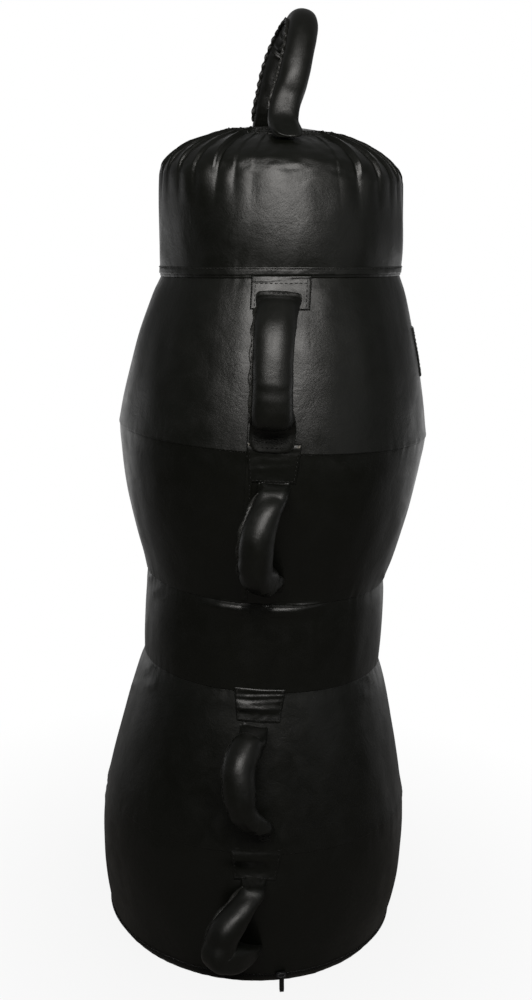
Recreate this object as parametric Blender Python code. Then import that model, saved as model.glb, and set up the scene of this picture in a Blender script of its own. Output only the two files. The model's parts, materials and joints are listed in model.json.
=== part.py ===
"""A tall grappling bag of sewn panels that stands on its round base.

It has four padded grips down its front, one above another, a padded loop on its gathered crown,
a zip round its base and a loose filling with a sand core. The floor is at height zero, the bag's
axis is Z, and the grips face -Y. All sizes are in metres, angles are in degrees.
"""

import math

import bmesh
import bpy
from mathutils import Matrix, Vector

# Height of each panel, from the floor up
base_seam_height = 0.020
hip_lower_height = 0.179
hip_upper_height = 0.199
waist_height = 0.118
chest_lower_height = 0.199
chest_upper_height = 0.201
head_height = 0.114
crown_height = 0.065

# Radius of the bag at each seam
base_seam_radius = 0.2014
hip_seam_radius = 0.2114
waist_lower_radius = 0.1627
waist_upper_radius = 0.1625
chest_seam_radius = 0.2045
head_seam_radius = 0.1552
shoulder_radius = 0.1550
base_rim_run = 0.0194

# How far each panel swells past the straight line between its seams
hip_lower_bulge = 0.0066
hip_upper_bulge = 0.0030
waist_bulge = 0.0014
chest_lower_bulge = 0.0052
chest_upper_bulge = 0.0054
head_bulge = 0.0012

# Cover and seams
cover_wall = 0.0025
sewn_gap = 0.0003
seam_tuck = 0.0022
seam_roll = 0.005
head_band_height = 0.009
head_band_thickness = 0.0018

# Gathered crown
crown_opening_radius = 0.030
crown_patch_radius = 0.085
crown_patch_thickness = 0.0025
pleat_depth = 0.0045

# Patches under the upper end of each grip, and the blank one on the side
patch_width = 0.066
patch_foot_width = 0.056
patch_height = 0.042
patch_thickness = 0.002
patch_seam_overlap = 0.006
side_patch_width = 0.062
side_patch_height = 0.062
side_patch_drop = 0.060

# Padded grips
strap_width = 0.016
strap_thickness = 0.003
strap_cover = 0.0011
grip_clearance = 0.0008
root_gap = 0.0004
root_length = 0.010
root_width = 0.026
root_tip_thickness = 0.003

chest_upper_grip_rise = 0.034
chest_upper_grip_width = 0.049
chest_upper_grip_depth = 0.043
chest_upper_grip_drop = 0.012
chest_upper_grip_foot = 0.027

chest_lower_grip_rise = 0.038
chest_lower_grip_width = 0.0425
chest_lower_grip_depth = 0.0425
chest_lower_grip_drop = 0.028
chest_lower_grip_foot = 0.025

hip_upper_grip_rise = 0.038
hip_upper_grip_width = 0.041
hip_upper_grip_depth = 0.041
hip_upper_grip_drop = 0.034
hip_upper_grip_foot = 0.027

hip_lower_grip_rise = 0.045
hip_lower_grip_width = 0.042
hip_lower_grip_depth = 0.042
hip_lower_grip_drop = 0.025
hip_lower_grip_foot = 0.039

# Loop on the crown
loop_span = 0.125
loop_rise = 0.111
loop_girth = 0.041
loop_offset = 0.013

# Zip round the base
zip_tape_height = 0.0044
zip_tape_thickness = 0.0016
slider_length = 0.013
slider_height = 0.009
slider_thickness = 0.003
slider_pin_radius = 0.0009
slider_ear_thickness = 0.0012
pull_width = 0.0065
pull_length = 0.0190
pull_floor_gap = 0.001
pull_thickness = 0.0014
pull_eye_wall = 0.0011

# Filling and its sand core
sleeve_radius = 0.047
sleeve_height = 0.600
sleeve_wall = 0.0015
sleeve_neck_radius = 0.014
sleeve_neck_height = 0.050
sleeve_shoulder_height = 0.045
tie_cord_radius = 0.0025

# Counts, angles and shares
body_segments = 36
head_segments = 72
core_segments = 24
pleat_count = 18
grip_sides = 12
panel_row_count = 4
waist_row_count = 2
head_row_count = 2
pad_columns = 6
crown_rows = 5
filling_crown_rows = 3
rim_rows = 3
tie_sides = 6
eye_sides = 12
grip_rows = 12
loop_rows = 18
loop_turn = 8.2
loop_lean = 9.0
slider_azimuth = 13.0
side_patch_azimuth = 90.0
chest_upper_patch_azimuth = 0.0
chest_lower_patch_azimuth = 0.7
hip_upper_patch_azimuth = 0.0
hip_lower_patch_azimuth = 1.5
chest_upper_grip_azimuths = (0.0, -1.0)
chest_lower_grip_azimuths = (3.7, 1.7)
hip_upper_grip_azimuths = (2.6, 1.4)
hip_lower_grip_azimuths = (2.4, 3.6)
chest_upper_grip_turn = -3.0
chest_lower_grip_turn = -38.0
hip_upper_grip_turn = -37.0
hip_lower_grip_turn = -50.0
cap_depth_shares = (0.77, 0.45)
root_height_share = 0.95
grip_square_share = 0.85
loop_square_share = 0.80
grip_girth_share = 0.55
loop_girth_share = 0.35
pleat_swell_share = 0.7

# Radius where the base's flat ends and its rounded rim starts
base_flat_radius = base_seam_radius - base_rim_run

# Heights of the seams
hip_seam_z = base_seam_height + hip_lower_height
waist_lower_z = hip_seam_z + hip_upper_height
waist_upper_z = waist_lower_z + waist_height
chest_seam_z = waist_upper_z + chest_lower_height
head_seam_z = chest_seam_z + chest_upper_height
shoulder_z = head_seam_z + head_height

# Sizes of a grip's round end, which holds its strap
cap_radius_share = math.sqrt(1 - cap_depth_shares[0] ** 2)
strap_half_diagonal = math.hypot(strap_width / 2 + sewn_gap, strap_thickness / 2 + sewn_gap)
grip_end_radius = (strap_half_diagonal + strap_cover) / cap_radius_share
grip_standoff = patch_thickness + sewn_gap + grip_end_radius + grip_clearance

# Each panel: name, seam heights, seam radii and bulge
panels = {
    "hip_lower": (base_seam_height, hip_seam_z, base_seam_radius, hip_seam_radius, hip_lower_bulge),
    "hip_upper": (hip_seam_z, waist_lower_z, hip_seam_radius, waist_lower_radius, hip_upper_bulge),
    "waist": (waist_lower_z, waist_upper_z, waist_lower_radius, waist_upper_radius, waist_bulge),
    "chest_lower": (waist_upper_z, chest_seam_z, waist_upper_radius, chest_seam_radius, chest_lower_bulge),
    "chest_upper": (chest_seam_z, head_seam_z, chest_seam_radius, head_seam_radius, chest_upper_bulge),
    "head": (head_seam_z, shoulder_z, head_seam_radius, shoulder_radius, head_bulge),
}

looks = {
    "cover": ((0.012, 0.012, 0.010), 0.42, 0.0),
    "webbing": ((0.014, 0.014, 0.013), 0.75, 0.0),
    "tape": ((0.010, 0.010, 0.010), 0.70, 0.0),
    "zip_metal": ((0.030, 0.030, 0.030), 0.40, 0.8),
    "pull_cord": ((0.010, 0.010, 0.010), 0.65, 0.0),
    "textile": ((0.220, 0.210, 0.200), 0.90, 0.0),
    "canvas": ((0.420, 0.390, 0.320), 0.85, 0.0),
    "sand": ((0.480, 0.380, 0.250), 0.95, 0.0),
    "cord": ((0.600, 0.580, 0.530), 0.80, 0.0),
}


def clear_scene():
    for old in list(bpy.data.objects):
        bpy.data.objects.remove(old)


def material_of(name, look):
    colour, roughness, metallic = looks[look]
    material = bpy.data.materials.new(name)
    material.use_nodes = True
    shader = material.node_tree.nodes["Principled BSDF"]
    shader.inputs["Base Color"].default_value = (*colour, 1)
    shader.inputs["Roughness"].default_value = roughness
    shader.inputs["Metallic"].default_value = metallic
    material.diffuse_color = (*colour, 1)
    return material


def finish(name, bm, look, smooth_angle=40.0):
    """The bmesh as a named object, shaded smooth, with its faces pointing out."""
    bmesh.ops.recalc_face_normals(bm, faces=bm.faces)
    mesh = bpy.data.meshes.new(name)
    bm.to_mesh(mesh)
    bm.free()
    mesh.shade_smooth()
    mesh.set_sharp_from_angle(angle=math.radians(smooth_angle))
    mesh.materials.append(material_of(name, look))
    made = bpy.data.objects.new(name, mesh)
    bpy.context.scene.collection.objects.link(made)
    return made


def turn(profile, segments):
    """A bmesh turned about Z from (radius, height) points: a ring's, or from axis to axis."""
    bm = bmesh.new()
    points = [bm.verts.new((radius, 0, height)) for radius, height in profile]
    on_axis = profile[0][0] == 0
    ends = zip(points, points[1:] if on_axis else points[1:] + points[:1])
    edges = [bm.edges.new(pair) for pair in ends]
    up = Vector((0, 0, 1))
    bmesh.ops.spin(bm, geom=points + edges, axis=up, steps=segments, angle=math.tau, use_merge=True)
    bmesh.ops.remove_doubles(bm, verts=bm.verts, dist=sewn_gap / 100)
    return bm


def panel_radius(panel, share):
    """Outer radius of a panel at a share of its height."""
    _, _, lower, upper, bulge = panels[panel]
    return lower + (upper - lower) * share + bulge * 4 * share * (1 - share)


def panel_rings(panel):
    """(radius, height) of a panel's outer side, without the edges that tuck into its seams."""
    bottom, top, *_ = panels[panel]
    height = top - bottom
    roll = seam_roll / height
    rows = {"waist": waist_row_count, "head": head_row_count}.get(panel, panel_row_count)
    shares = [roll] + [row / rows for row in range(1, rows)] + [1 - roll]
    return [(panel_radius(panel, share), bottom + share * height) for share in shares]


def skin_rings():
    return [ring for panel in panels for ring in panel_rings(panel)]


def skin_radius(height):
    """Outer radius of the bag's side at a height, as its rings' straight runs give it."""
    rings = skin_rings()
    for (lower, bottom), (upper, top) in zip(rings, rings[1:]):
        if height <= top:
            return lower + (upper - lower) * (height - bottom) / (top - bottom)
    return rings[-1][0]


def skin_lean(height):
    """How much longer a distance off the side is when measured level, because the side leans."""
    step = seam_roll / 2
    rise = (skin_radius(height + step) - skin_radius(height - step)) / (2 * step)
    return math.hypot(1, rise)


def outward(azimuth):
    """Level direction away from the axis; azimuth 0 is the front and positive ones are on the +X side."""
    angle = math.radians(azimuth)
    return Vector((math.sin(angle), -math.cos(angle), 0))


def side_point(azimuth, height, lift):
    """A point at a distance off the bag's side."""
    radius = skin_radius(height) + lift * skin_lean(height)
    return outward(azimuth) * radius + Vector((0, 0, height))


def crown_z(radius):
    """Height of the gathered crown's outer side at a radius, as its rings' straight runs give it."""
    rings = [(shoulder_radius, shoulder_z)] + crown_arc(0, crown_opening_radius, crown_rows)
    for (outer, low), (inner, high) in zip(rings, rings[1:]):
        if radius >= inner:
            return low + (high - low) * (outer - radius) / (outer - inner)
    return rings[-1][1]


def crown_point(x, y, lift):
    """A point at a height over the crown's outer side."""
    return Vector((x, y, crown_z(math.hypot(x, y)) + lift))


def add_panel(panel):
    """A sewn panel whose edges tuck into the seams above and below."""
    bottom, top, lower, upper, *_ = panels[panel]
    rings = panel_rings(panel)
    edge = sewn_gap / 2
    outer = [(lower - seam_tuck, bottom + edge), *rings, (upper - seam_tuck, top - edge)]
    inner = [(radius - cover_wall, height) for radius, height in outer]
    del inner[1], inner[-2]
    return finish(panel + "_panel", turn(outer + inner[::-1], body_segments), "cover")


def crown_arc(wall, end_radius, rows):
    """Crown's profile from shoulder to an inner radius, at a depth under its outer side."""
    start = math.acos(end_radius / shoulder_radius)
    angles = [start * row / rows for row in range(1, rows + 1)]
    reach = shoulder_radius - wall
    return [(reach * math.cos(a), shoulder_z + (crown_height - wall) * math.sin(a)) for a in angles]


def pleat_dip(radius, azimuth):
    """Depth of the gathers, deepest between the shoulder and the crown patch."""
    run = (radius - crown_patch_radius) / (shoulder_radius - crown_patch_radius)
    if not 0 < run < 1:
        return 0
    swell = math.sin(math.pi * run) ** pleat_swell_share
    return pleat_depth * swell * (1 - math.cos(pleat_count * azimuth)) / 2


def gather(bm):
    for vert in bm.verts:
        if vert.co.z > shoulder_z:
            radius = math.hypot(vert.co.x, vert.co.y)
            vert.co.z -= pleat_dip(radius, math.atan2(vert.co.y, vert.co.x))


def add_head_panel():
    """Upright head panel drawn together over the top into a pleated crown."""
    bottom, _, lower, *_ = panels["head"]
    side = [(lower - seam_tuck, bottom + sewn_gap / 2), *panel_rings("head")]
    outer = side + crown_arc(0, crown_opening_radius, crown_rows)
    inner_side = [(radius - cover_wall, height) for radius, height in side]
    del inner_side[1]
    inner = inner_side + crown_arc(cover_wall, crown_opening_radius, crown_rows)
    bm = turn(outer + inner[::-1], head_segments)
    gather(bm)
    return finish("head_panel", bm, "cover")


def add_head_band():
    """Lapped strip that covers the seam between head and chest."""
    bottom = head_seam_z + seam_roll
    top = bottom + head_band_height
    inner = max(skin_radius(bottom), skin_radius(top)) + sewn_gap
    outer = inner + head_band_thickness
    profile = [(outer, top), (outer, bottom), (inner, bottom), (inner, top)]
    return finish("head_seam_band", turn(profile, head_segments), "cover")


def rim_arc(reach, bottom, top):
    """Rounded edge of the base, from its flat up to the seam."""
    angles = [math.pi / 2 * row / (rim_rows + 1) for row in range(rim_rows + 2)]
    run, rise = reach - base_flat_radius, top - bottom
    return [(base_flat_radius + run * math.sin(a), bottom + rise * (1 - math.cos(a))) for a in angles]


def add_base_panel():
    top = base_seam_height - sewn_gap / 2
    reach = base_seam_radius - seam_tuck
    outer = rim_arc(reach, 0, top)
    inner = rim_arc(reach - cover_wall, cover_wall, top)
    profile = [(0, 0), *outer, *inner[::-1], (0, cover_wall)]
    return finish("base_panel", turn(profile, body_segments), "cover")


def add_crown_patch():
    """Round leather that covers the gathers and carries the loop."""
    rings = [radius for radius, _ in crown_arc(0, crown_opening_radius, crown_rows)]
    radii = [0, *(radius for radius in rings[::-1] if radius < crown_patch_radius), crown_patch_radius]
    under = [(radius, crown_z(radius) + sewn_gap) for radius in radii]
    over = [(radius, height + crown_patch_thickness) for radius, height in under]
    return finish("crown_patch", turn(under + over[::-1], body_segments), "cover")


def skin_across(bm, first, second):
    """Faces between two open rows of as many points."""
    for a, b, c, d in zip(first, first[1:], second[1:], second):
        bm.faces.new((a, b, c, d))


def laid_pad(name, columns, rows, place, floor, tops, look):
    """A thin piece lying on a surface. place gives a point from a column, a row and a lift."""
    bm = bmesh.new()
    lower = [[bm.verts.new(place(c, r, floor)) for c in columns(r)] for r in rows]
    upper = [[bm.verts.new(place(c, r, top)) for c in columns(r)] for r, top in zip(rows, tops)]
    for layer in (lower, upper):
        for first, second in zip(layer, layer[1:]):
            skin_across(bm, first, second)
    rims = [(lower[0], upper[0]), (lower[-1], upper[-1])]
    rims += [([row[edge] for row in lower], [row[edge] for row in upper]) for edge in (0, -1)]
    for low, high in rims:
        skin_across(bm, low, high)
    return finish(name, bm, look, smooth_angle=25.0)


def side_columns(middle, width, height):
    """Azimuths across a piece on the bag's side, close enough to follow its round."""
    half = math.degrees(width / 2 / skin_radius(height))
    return [middle + half * (2 * step / pad_columns - 1) for step in range(pad_columns + 1)]


def side_rows(bottom, top):
    """Heights up a piece on the bag's side: its ends and the bag's rings between them."""
    return [bottom] + [z for _, z in skin_rings() if bottom < z < top] + [top]


def add_side_piece(name, middle, bottom, top, foot_width, head_width, thickness, look, lift=0.0):
    """A patch that lies on the bag's side, narrower or wider at its foot."""
    def columns(height):
        width = foot_width + (head_width - foot_width) * (height - bottom) / (top - bottom)
        return side_columns(middle, width, height)

    rows = side_rows(bottom, top)
    tops = [lift + sewn_gap + thickness] * len(rows)
    return laid_pad(name, columns, rows, side_point, lift + sewn_gap, tops, look)


def grip_curve(span, rise, square_share, rows):
    """Centre line in the grip's own frame: its ends lie on Z and it stands out towards -Y."""
    points = []
    for row in range(rows + 1):
        angle = math.pi * row / rows
        along = math.copysign(abs(math.cos(angle)) ** square_share, math.cos(angle))
        out = math.sin(angle) ** square_share if 0 < row < rows else 0
        points.append(Vector((0, -rise * out, span / 2 * (1 - along))))
    return points


def grip_stations(span, rise, square_share, girth, girth_share, rows):
    """(centre, direction, half width, half depth) along a grip, with a round cap at both ends."""
    points = grip_curve(span, rise, square_share, rows)
    stations = []
    for row, point in enumerate(points):
        before = points[max(row - 1, 0)]
        after = points[min(row + 1, rows)]
        heading = (after - before).normalized()
        if row in (0, rows):
            heading = Vector((0, -1 if row == 0 else 1, 0))
        grown = min(-point.y / (rise * girth_share), 1)
        grown = grown * grown * (3 - 2 * grown)
        half = [grip_end_radius + (size / 2 - grip_end_radius) * grown for size in girth]
        stations.append((point, heading, *half))
    end = grip_end_radius
    caps = [(share * end, math.sqrt(1 - share**2) * end) for share in cap_depth_shares]
    first, last = stations[0], stations[-1]
    lower = [(first[0] - first[1] * depth, first[1], radius, radius) for depth, radius in caps]
    upper = [(last[0] + last[1] * depth, last[1], radius, radius) for depth, radius in caps[::-1]]
    return lower + stations + upper


def section(bm, station, outline):
    """One ring of points round a station; outline holds shares across and through it, or sizes."""
    centre, heading, *_ = station
    across = Vector((1, 0, 0))
    through = across.cross(heading)
    return [bm.verts.new(centre + across * a + through * b) for a, b in outline]


def skin_between(bm, rings):
    for first, second in zip(rings, rings[1:]):
        for k, vert in enumerate(first):
            after = (k + 1) % len(first)
            bm.faces.new((vert, first[after], second[after], second[k]))


def round_outline(half_width, half_depth):
    angles = [math.tau * side / grip_sides for side in range(grip_sides)]
    return [(half_width * math.cos(a), half_depth * math.sin(a)) for a in angles]


def strap_outline(margin):
    wide = strap_width / 2 + margin
    deep = strap_thickness / 2 + margin
    return [(wide, deep), (-wide, deep), (-wide, -deep), (wide, -deep)]


def close_end(bm, outer, bore):
    """Flat end of a sleeve: each corner of the bore fans out to a quarter of the round outline."""
    quarter = grip_sides // 4
    for k, corner in enumerate(bore):
        arc = [outer[(quarter * k + step) % grip_sides] for step in range(quarter + 1)]
        for a, b in zip(arc, arc[1:]):
            bm.faces.new((corner, a, b))
        bm.faces.new((corner, arc[-1], bore[(k + 1) % len(bore)]))


def add_sleeve(name, stations):
    """Padded sleeve with a flat bore for its strap."""
    bm = bmesh.new()
    outer = [section(bm, s, round_outline(s[2], s[3])) for s in stations]
    bore = [section(bm, s, strap_outline(sewn_gap)) for s in stations]
    skin_between(bm, outer)
    skin_between(bm, bore)
    for end in (0, -1):
        close_end(bm, outer[end], bore[end])
    return finish(name, bm, "cover")


def add_strap(name, stations):
    """Webbing strap that runs through the sleeve from end to end."""
    bm = bmesh.new()
    rings = [section(bm, s, strap_outline(0)) for s in stations]
    skin_between(bm, rings)
    bm.faces.new(rings[0])
    bm.faces.new(rings[-1])
    return finish(name, bm, "webbing")


def hinge_frame(lower, upper, away):
    """Frame at the lower point with Z towards the upper one and -Y turned away from the bag."""
    z = (upper - lower).normalized()
    y = -(away - z * away.dot(z)).normalized()
    x = y.cross(z)
    frame = Matrix((x, y, z)).transposed().to_4x4()
    frame.translation = lower
    return frame


def add_grip(name, lower, upper, away, turned, sizes):
    """A sleeve and its strap on an empty that stands on their hinge line, turned to where they rest."""
    rise, width, depth, square_share, girth_share, rows = sizes
    span = (upper - lower).length
    stations = grip_stations(span, rise, square_share, (width, depth), girth_share, rows)
    hinge = bpy.data.objects.new(name + "_hinge", None)
    bpy.context.scene.collection.objects.link(hinge)
    hinge.matrix_world = hinge_frame(lower, upper, away)
    for piece in (add_sleeve(name + "_sleeve", stations), add_strap(name + "_strap", stations)):
        piece.parent = hinge
        piece.rotation_euler.z = math.radians(turned)


def add_side_grip(panel, rise, width, depth, drop, foot, azimuths, turned, patch_azimuth):
    """One of the four front grips, with its patch and the two folded roots that it is sewn to."""
    name = panel + "_grip"
    bottom, top, *_ = panels[panel]
    patch_top = top + patch_seam_overlap if panel != "chest_upper" else top - sewn_gap
    add_side_piece(
        panel + "_patch", patch_azimuth, patch_top - patch_height, patch_top, patch_foot_width, patch_width,
        patch_thickness, "cover",
    )
    upper_z = top - drop - grip_end_radius
    lower_z = bottom + foot + grip_end_radius
    lower_azimuth, upper_azimuth = azimuths
    lower = side_point(lower_azimuth, lower_z, grip_standoff)
    upper = side_point(upper_azimuth, upper_z, grip_standoff)
    away = outward((lower_azimuth + upper_azimuth) / 2)
    sizes = (rise, width, depth, grip_square_share, grip_girth_share, grip_rows)
    add_grip(name, lower, upper, away, turned, sizes)
    reach = grip_end_radius * (upper - lower).normalized().z + root_gap
    near = upper_z + reach
    add_side_root(name + "_upper_root", upper_azimuth, near, near + root_length, patch_thickness + sewn_gap)
    near = lower_z - reach
    add_side_root(name + "_lower_root", lower_azimuth, near, near - root_length, 0)


def add_side_root(name, azimuth, near, far, lift):
    """Folded end that rises from the bag's side to the grip's end."""
    rows = side_rows(min(near, far), max(near, far))
    floor = lift + sewn_gap
    tall = grip_standoff * root_height_share
    thin = floor + root_tip_thickness
    tops = [thin + (tall - thin) * (far - z) / (far - near) for z in rows]

    def columns(height):
        return side_columns(azimuth, root_width, height)

    laid_pad(name, columns, rows, side_point, floor, tops, "cover")


def loop_axis():
    """Level direction from the loop's front foot to its back foot."""
    angle = math.radians(loop_turn)
    return Vector((-math.sin(angle), math.cos(angle), 0))


def loop_foot(side):
    """Point on the hinge line at the front foot (-1) or the back foot (1)."""
    spot = loop_axis() * side * loop_span / 2 + Vector((-loop_offset, 0, 0))
    lift = sewn_gap + crown_patch_thickness + grip_end_radius + grip_clearance
    radius = math.hypot(spot.x, spot.y)
    step = seam_roll / 2
    slope = (crown_z(radius + step) - crown_z(radius - step)) / (2 * step)
    return crown_point(spot.x, spot.y, lift * math.hypot(1, slope))


def add_loop():
    """Padded loop on the crown, with the folded root at each foot."""
    front, back = loop_foot(-1), loop_foot(1)
    sizes = (loop_rise, loop_girth, loop_girth, loop_square_share, loop_girth_share, loop_rows)
    add_grip("loop", front, back, Vector((0, 0, 1)), loop_lean, sizes)
    along = loop_axis()
    across = Vector((along.y, -along.x, 0))
    floor = 2 * sewn_gap + crown_patch_thickness
    for name, foot, side in (("loop_front_root", front, -1), ("loop_back_root", back, 1)):

        def place(column, row, lift, foot=foot, side=side):
            spot = foot + along * side * row + across * column
            return crown_point(spot.x, spot.y, lift)

        near = grip_end_radius + root_gap
        rows = [near, near + root_length]
        tall = foot.z - place(0, near, 0).z
        tops = [tall, floor + root_tip_thickness]
        half = root_width / 2
        laid_pad(name, lambda row: [-half, 0, half], rows, place, floor, tops, "cover")


def zip_ring_radius():
    """Inner radius of the zip's tape, clear of the panels that roll into the seam."""
    half = zip_tape_height / 2
    rolled = seam_tuck * (1 - half / seam_roll)
    return max(panel_radius("hip_lower", seam_roll / hip_lower_height), base_seam_radius) - rolled + sewn_gap


def add_zip_tape():
    inner = zip_ring_radius()
    outer = inner + zip_tape_thickness
    half = zip_tape_height / 2
    low, high = base_seam_height - half, base_seam_height + half
    profile = [(outer, high), (outer, low), (inner, low), (inner, high)]
    return finish("zip_tape", turn(profile, head_segments), "tape")


def box(bm, low, high):
    """A closed box between two corners."""
    made = bmesh.ops.create_cube(bm, size=1)
    middle = (Vector(low) + Vector(high)) / 2
    size = Vector(high) - Vector(low)
    for vert in made["verts"]:
        vert.co = Vector([c * s for c, s in zip(vert.co, size)]) + middle


def add_slider():
    """Zip slider: a block that rides round the tape, with two ears that hold the pull's pin."""
    top = base_seam_height + slider_height / 2
    low = base_seam_height - slider_height / 2
    inner = max(zip_ring_radius() + zip_tape_thickness, skin_radius(top)) + sewn_gap
    outer = inner + slider_thickness
    eye = slider_pin_radius + sewn_gap + pull_eye_wall
    pin_out = outer + eye + sewn_gap
    bm = bmesh.new()
    box(bm, (-slider_length / 2, -outer, low), (slider_length / 2, -inner, top))
    block = finish("zip_slider", bm, "zip_metal")
    inside = pull_width / 2 + sewn_gap
    for side in (-1, 1):
        ear = bmesh.new()
        near, far = sorted((side * inside, side * (inside + slider_ear_thickness)))
        ear_low = (near, -pin_out - eye, base_seam_height - eye)
        ear_high = (far, -outer + sewn_gap, base_seam_height + eye)
        box(ear, ear_low, ear_high)
        join(block, finish("ear", ear, "zip_metal"))
    pin = bmesh.new()
    reach = inside + slider_ear_thickness / 2
    turn_across = Matrix.Rotation(math.pi / 2, 4, "Y")
    bmesh.ops.create_cone(
        pin, cap_ends=True, segments=eye_sides, radius1=slider_pin_radius, radius2=slider_pin_radius,
        depth=2 * reach, matrix=Matrix.Translation((0, -pin_out, base_seam_height)) @ turn_across,
    )
    join(block, finish("pin", pin, "zip_metal"))
    block.rotation_euler.z = math.radians(slider_azimuth)
    return block, pin_out, eye


def join(body, extra):
    """Unites a second closed mesh with the first and drops the second."""
    union = body.modifiers.new("union", "BOOLEAN")
    union.operation = "UNION"
    union.object = extra
    bpy.context.view_layer.update()
    graph = bpy.context.evaluated_depsgraph_get()
    whole = bpy.data.meshes.new_from_object(body.evaluated_get(graph))
    body.modifiers.clear()
    body.data = whole
    bpy.data.objects.remove(extra)


def add_pull(slider, pin_out, eye):
    """Pull strip with an eye round the slider's pin; its own frame is on the pin."""
    hole = slider_pin_radius + sewn_gap
    bm = bmesh.new()
    half = pull_width / 2
    start = math.degrees(math.asin(pull_thickness / 2 / eye))
    arc = [start + (360 - 2 * start) * k / eye_sides for k in range(eye_sides + 1)]
    outer = [(eye * math.cos(math.radians(a)), eye * math.sin(math.radians(a))) for a in arc]
    tip = pull_length
    outline = outer + [(tip, -pull_thickness / 2), (tip, pull_thickness / 2)]
    inner = [(hole * math.cos(math.radians(a)), hole * math.sin(math.radians(a))) for a in arc[:-1]]
    sides = []
    for x in (-half, half):
        rim = [bm.verts.new((x, -y, z)) for y, z in outline]
        bore = [bm.verts.new((x, -y, z)) for y, z in inner]
        loops = [bm.edges.new(pair) for ring in (rim, bore) for pair in zip(ring, ring[1:] + ring[:1])]
        bmesh.ops.triangle_fill(bm, edges=loops, use_beauty=True)
        sides.append((rim, bore))
    for first, second in zip(*sides):
        skin_between(bm, [first, second])
    pull = finish("zip_pull", bm, "pull_cord")
    pull.parent = slider
    pull.location = (0, -pin_out, base_seam_height)
    drop = base_seam_height - pull_thickness / 2 - pull_floor_gap
    pull.rotation_euler.x = math.asin(min(drop / pull_length, 1))
    return pull


def filling_profile(bore_radius, bore_top):
    """Outer profile just inside the cover, and a bore from below for the sand sleeve."""
    inset = cover_wall + sewn_gap
    floor = inset
    rim = rim_arc(base_seam_radius - seam_tuck - inset, floor, base_seam_height)
    side = []
    for panel, (bottom, top, lower, *_) in panels.items():
        middle = (panel_radius(panel, 1 / 2) - inset, (bottom + top) / 2)
        side += [(lower - seam_tuck - inset, bottom + sewn_gap), middle]
    side = side[1:]
    deep = inset + pleat_depth
    crown = crown_arc(deep, crown_opening_radius, filling_crown_rows)
    profile = [(0, bore_top), (bore_radius, bore_top), (bore_radius, floor), *rim, *side, *crown]
    return profile + [(0, crown[-1][1])]


def add_filling():
    """Loose textile filling, sand sleeve, sand and the cord that ties the sleeve's neck."""
    bottom = cover_wall + sewn_gap
    top = bottom + sleeve_height
    profile = filling_profile(sleeve_radius + sewn_gap, top + sewn_gap)
    finish("textile_filling", turn(profile, body_segments), "textile")

    neck = top - sleeve_neck_height
    shoulder = neck - sleeve_shoulder_height
    outside = [(0, bottom), (sleeve_radius, bottom), (sleeve_radius, shoulder)]
    outside += [(sleeve_neck_radius, neck), (sleeve_neck_radius, top)]
    thin = sleeve_wall
    inner_radius = sleeve_radius - thin
    inside = [(sleeve_neck_radius - thin, top), (sleeve_neck_radius - thin, neck)]
    inside += [(inner_radius, shoulder - thin), (inner_radius, bottom + thin), (0, bottom + thin)]
    finish("sand_sleeve", turn(outside + inside, core_segments), "canvas")

    low = bottom + thin + sewn_gap
    high = shoulder - thin - sewn_gap
    wide = sleeve_radius - thin - sewn_gap
    finish("sand_fill", turn([(0, low), (wide, low), (wide, high), (0, high)], core_segments), "sand")

    middle = sleeve_neck_radius + sewn_gap + tie_cord_radius
    angles = [math.tau * side / tie_sides for side in range(tie_sides)]
    height = neck + sleeve_neck_height / 2
    ring = [(middle + tie_cord_radius * math.cos(a), height + tie_cord_radius * math.sin(a)) for a in angles]
    finish("sleeve_tie", turn(ring, core_segments), "cord")


def add_side_patch():
    """Plain blank patch sewn to the right of the upper chest."""
    top = head_seam_z - side_patch_drop
    add_side_piece(
        "side_patch", side_patch_azimuth, top - side_patch_height, top, side_patch_width, side_patch_width,
        patch_thickness, "cover",
    )


def main():
    clear_scene()
    add_base_panel()
    for panel in list(panels)[:-1]:
        add_panel(panel)
    add_head_panel()
    add_head_band()
    add_crown_patch()
    add_side_grip(
        "chest_upper", chest_upper_grip_rise, chest_upper_grip_width, chest_upper_grip_depth,
        chest_upper_grip_drop, chest_upper_grip_foot, chest_upper_grip_azimuths, chest_upper_grip_turn,
        chest_upper_patch_azimuth,
    )
    add_side_grip(
        "chest_lower", chest_lower_grip_rise, chest_lower_grip_width, chest_lower_grip_depth,
        chest_lower_grip_drop, chest_lower_grip_foot, chest_lower_grip_azimuths, chest_lower_grip_turn,
        chest_lower_patch_azimuth,
    )
    add_side_grip(
        "hip_upper", hip_upper_grip_rise, hip_upper_grip_width, hip_upper_grip_depth,
        hip_upper_grip_drop, hip_upper_grip_foot, hip_upper_grip_azimuths, hip_upper_grip_turn,
        hip_upper_patch_azimuth,
    )
    add_side_grip(
        "hip_lower", hip_lower_grip_rise, hip_lower_grip_width, hip_lower_grip_depth,
        hip_lower_grip_drop, hip_lower_grip_foot, hip_lower_grip_azimuths, hip_lower_grip_turn,
        hip_lower_patch_azimuth,
    )
    add_loop()
    add_side_patch()
    add_zip_tape()
    slider, pin_out, eye = add_slider()
    add_pull(slider, pin_out, eye)
    add_filling()


main()
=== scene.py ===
"""Dresses the packed frame of a standing grappling bag in its sewn black leather.

The cover is synthetic leather over a loose textile filling. Four padded grips run down its front,
a padded loop stands on the gathered crown, and a zip goes round the base. Lengths are in metres,
the floor is at height zero, the bag's axis is Z and the grips face -Y.
"""

import json
import math
import random

import bpy
import numpy as np
from bpy.props import FloatProperty, FloatVectorProperty, IntProperty, PointerProperty
from mathutils import Matrix, Vector, noise


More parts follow.
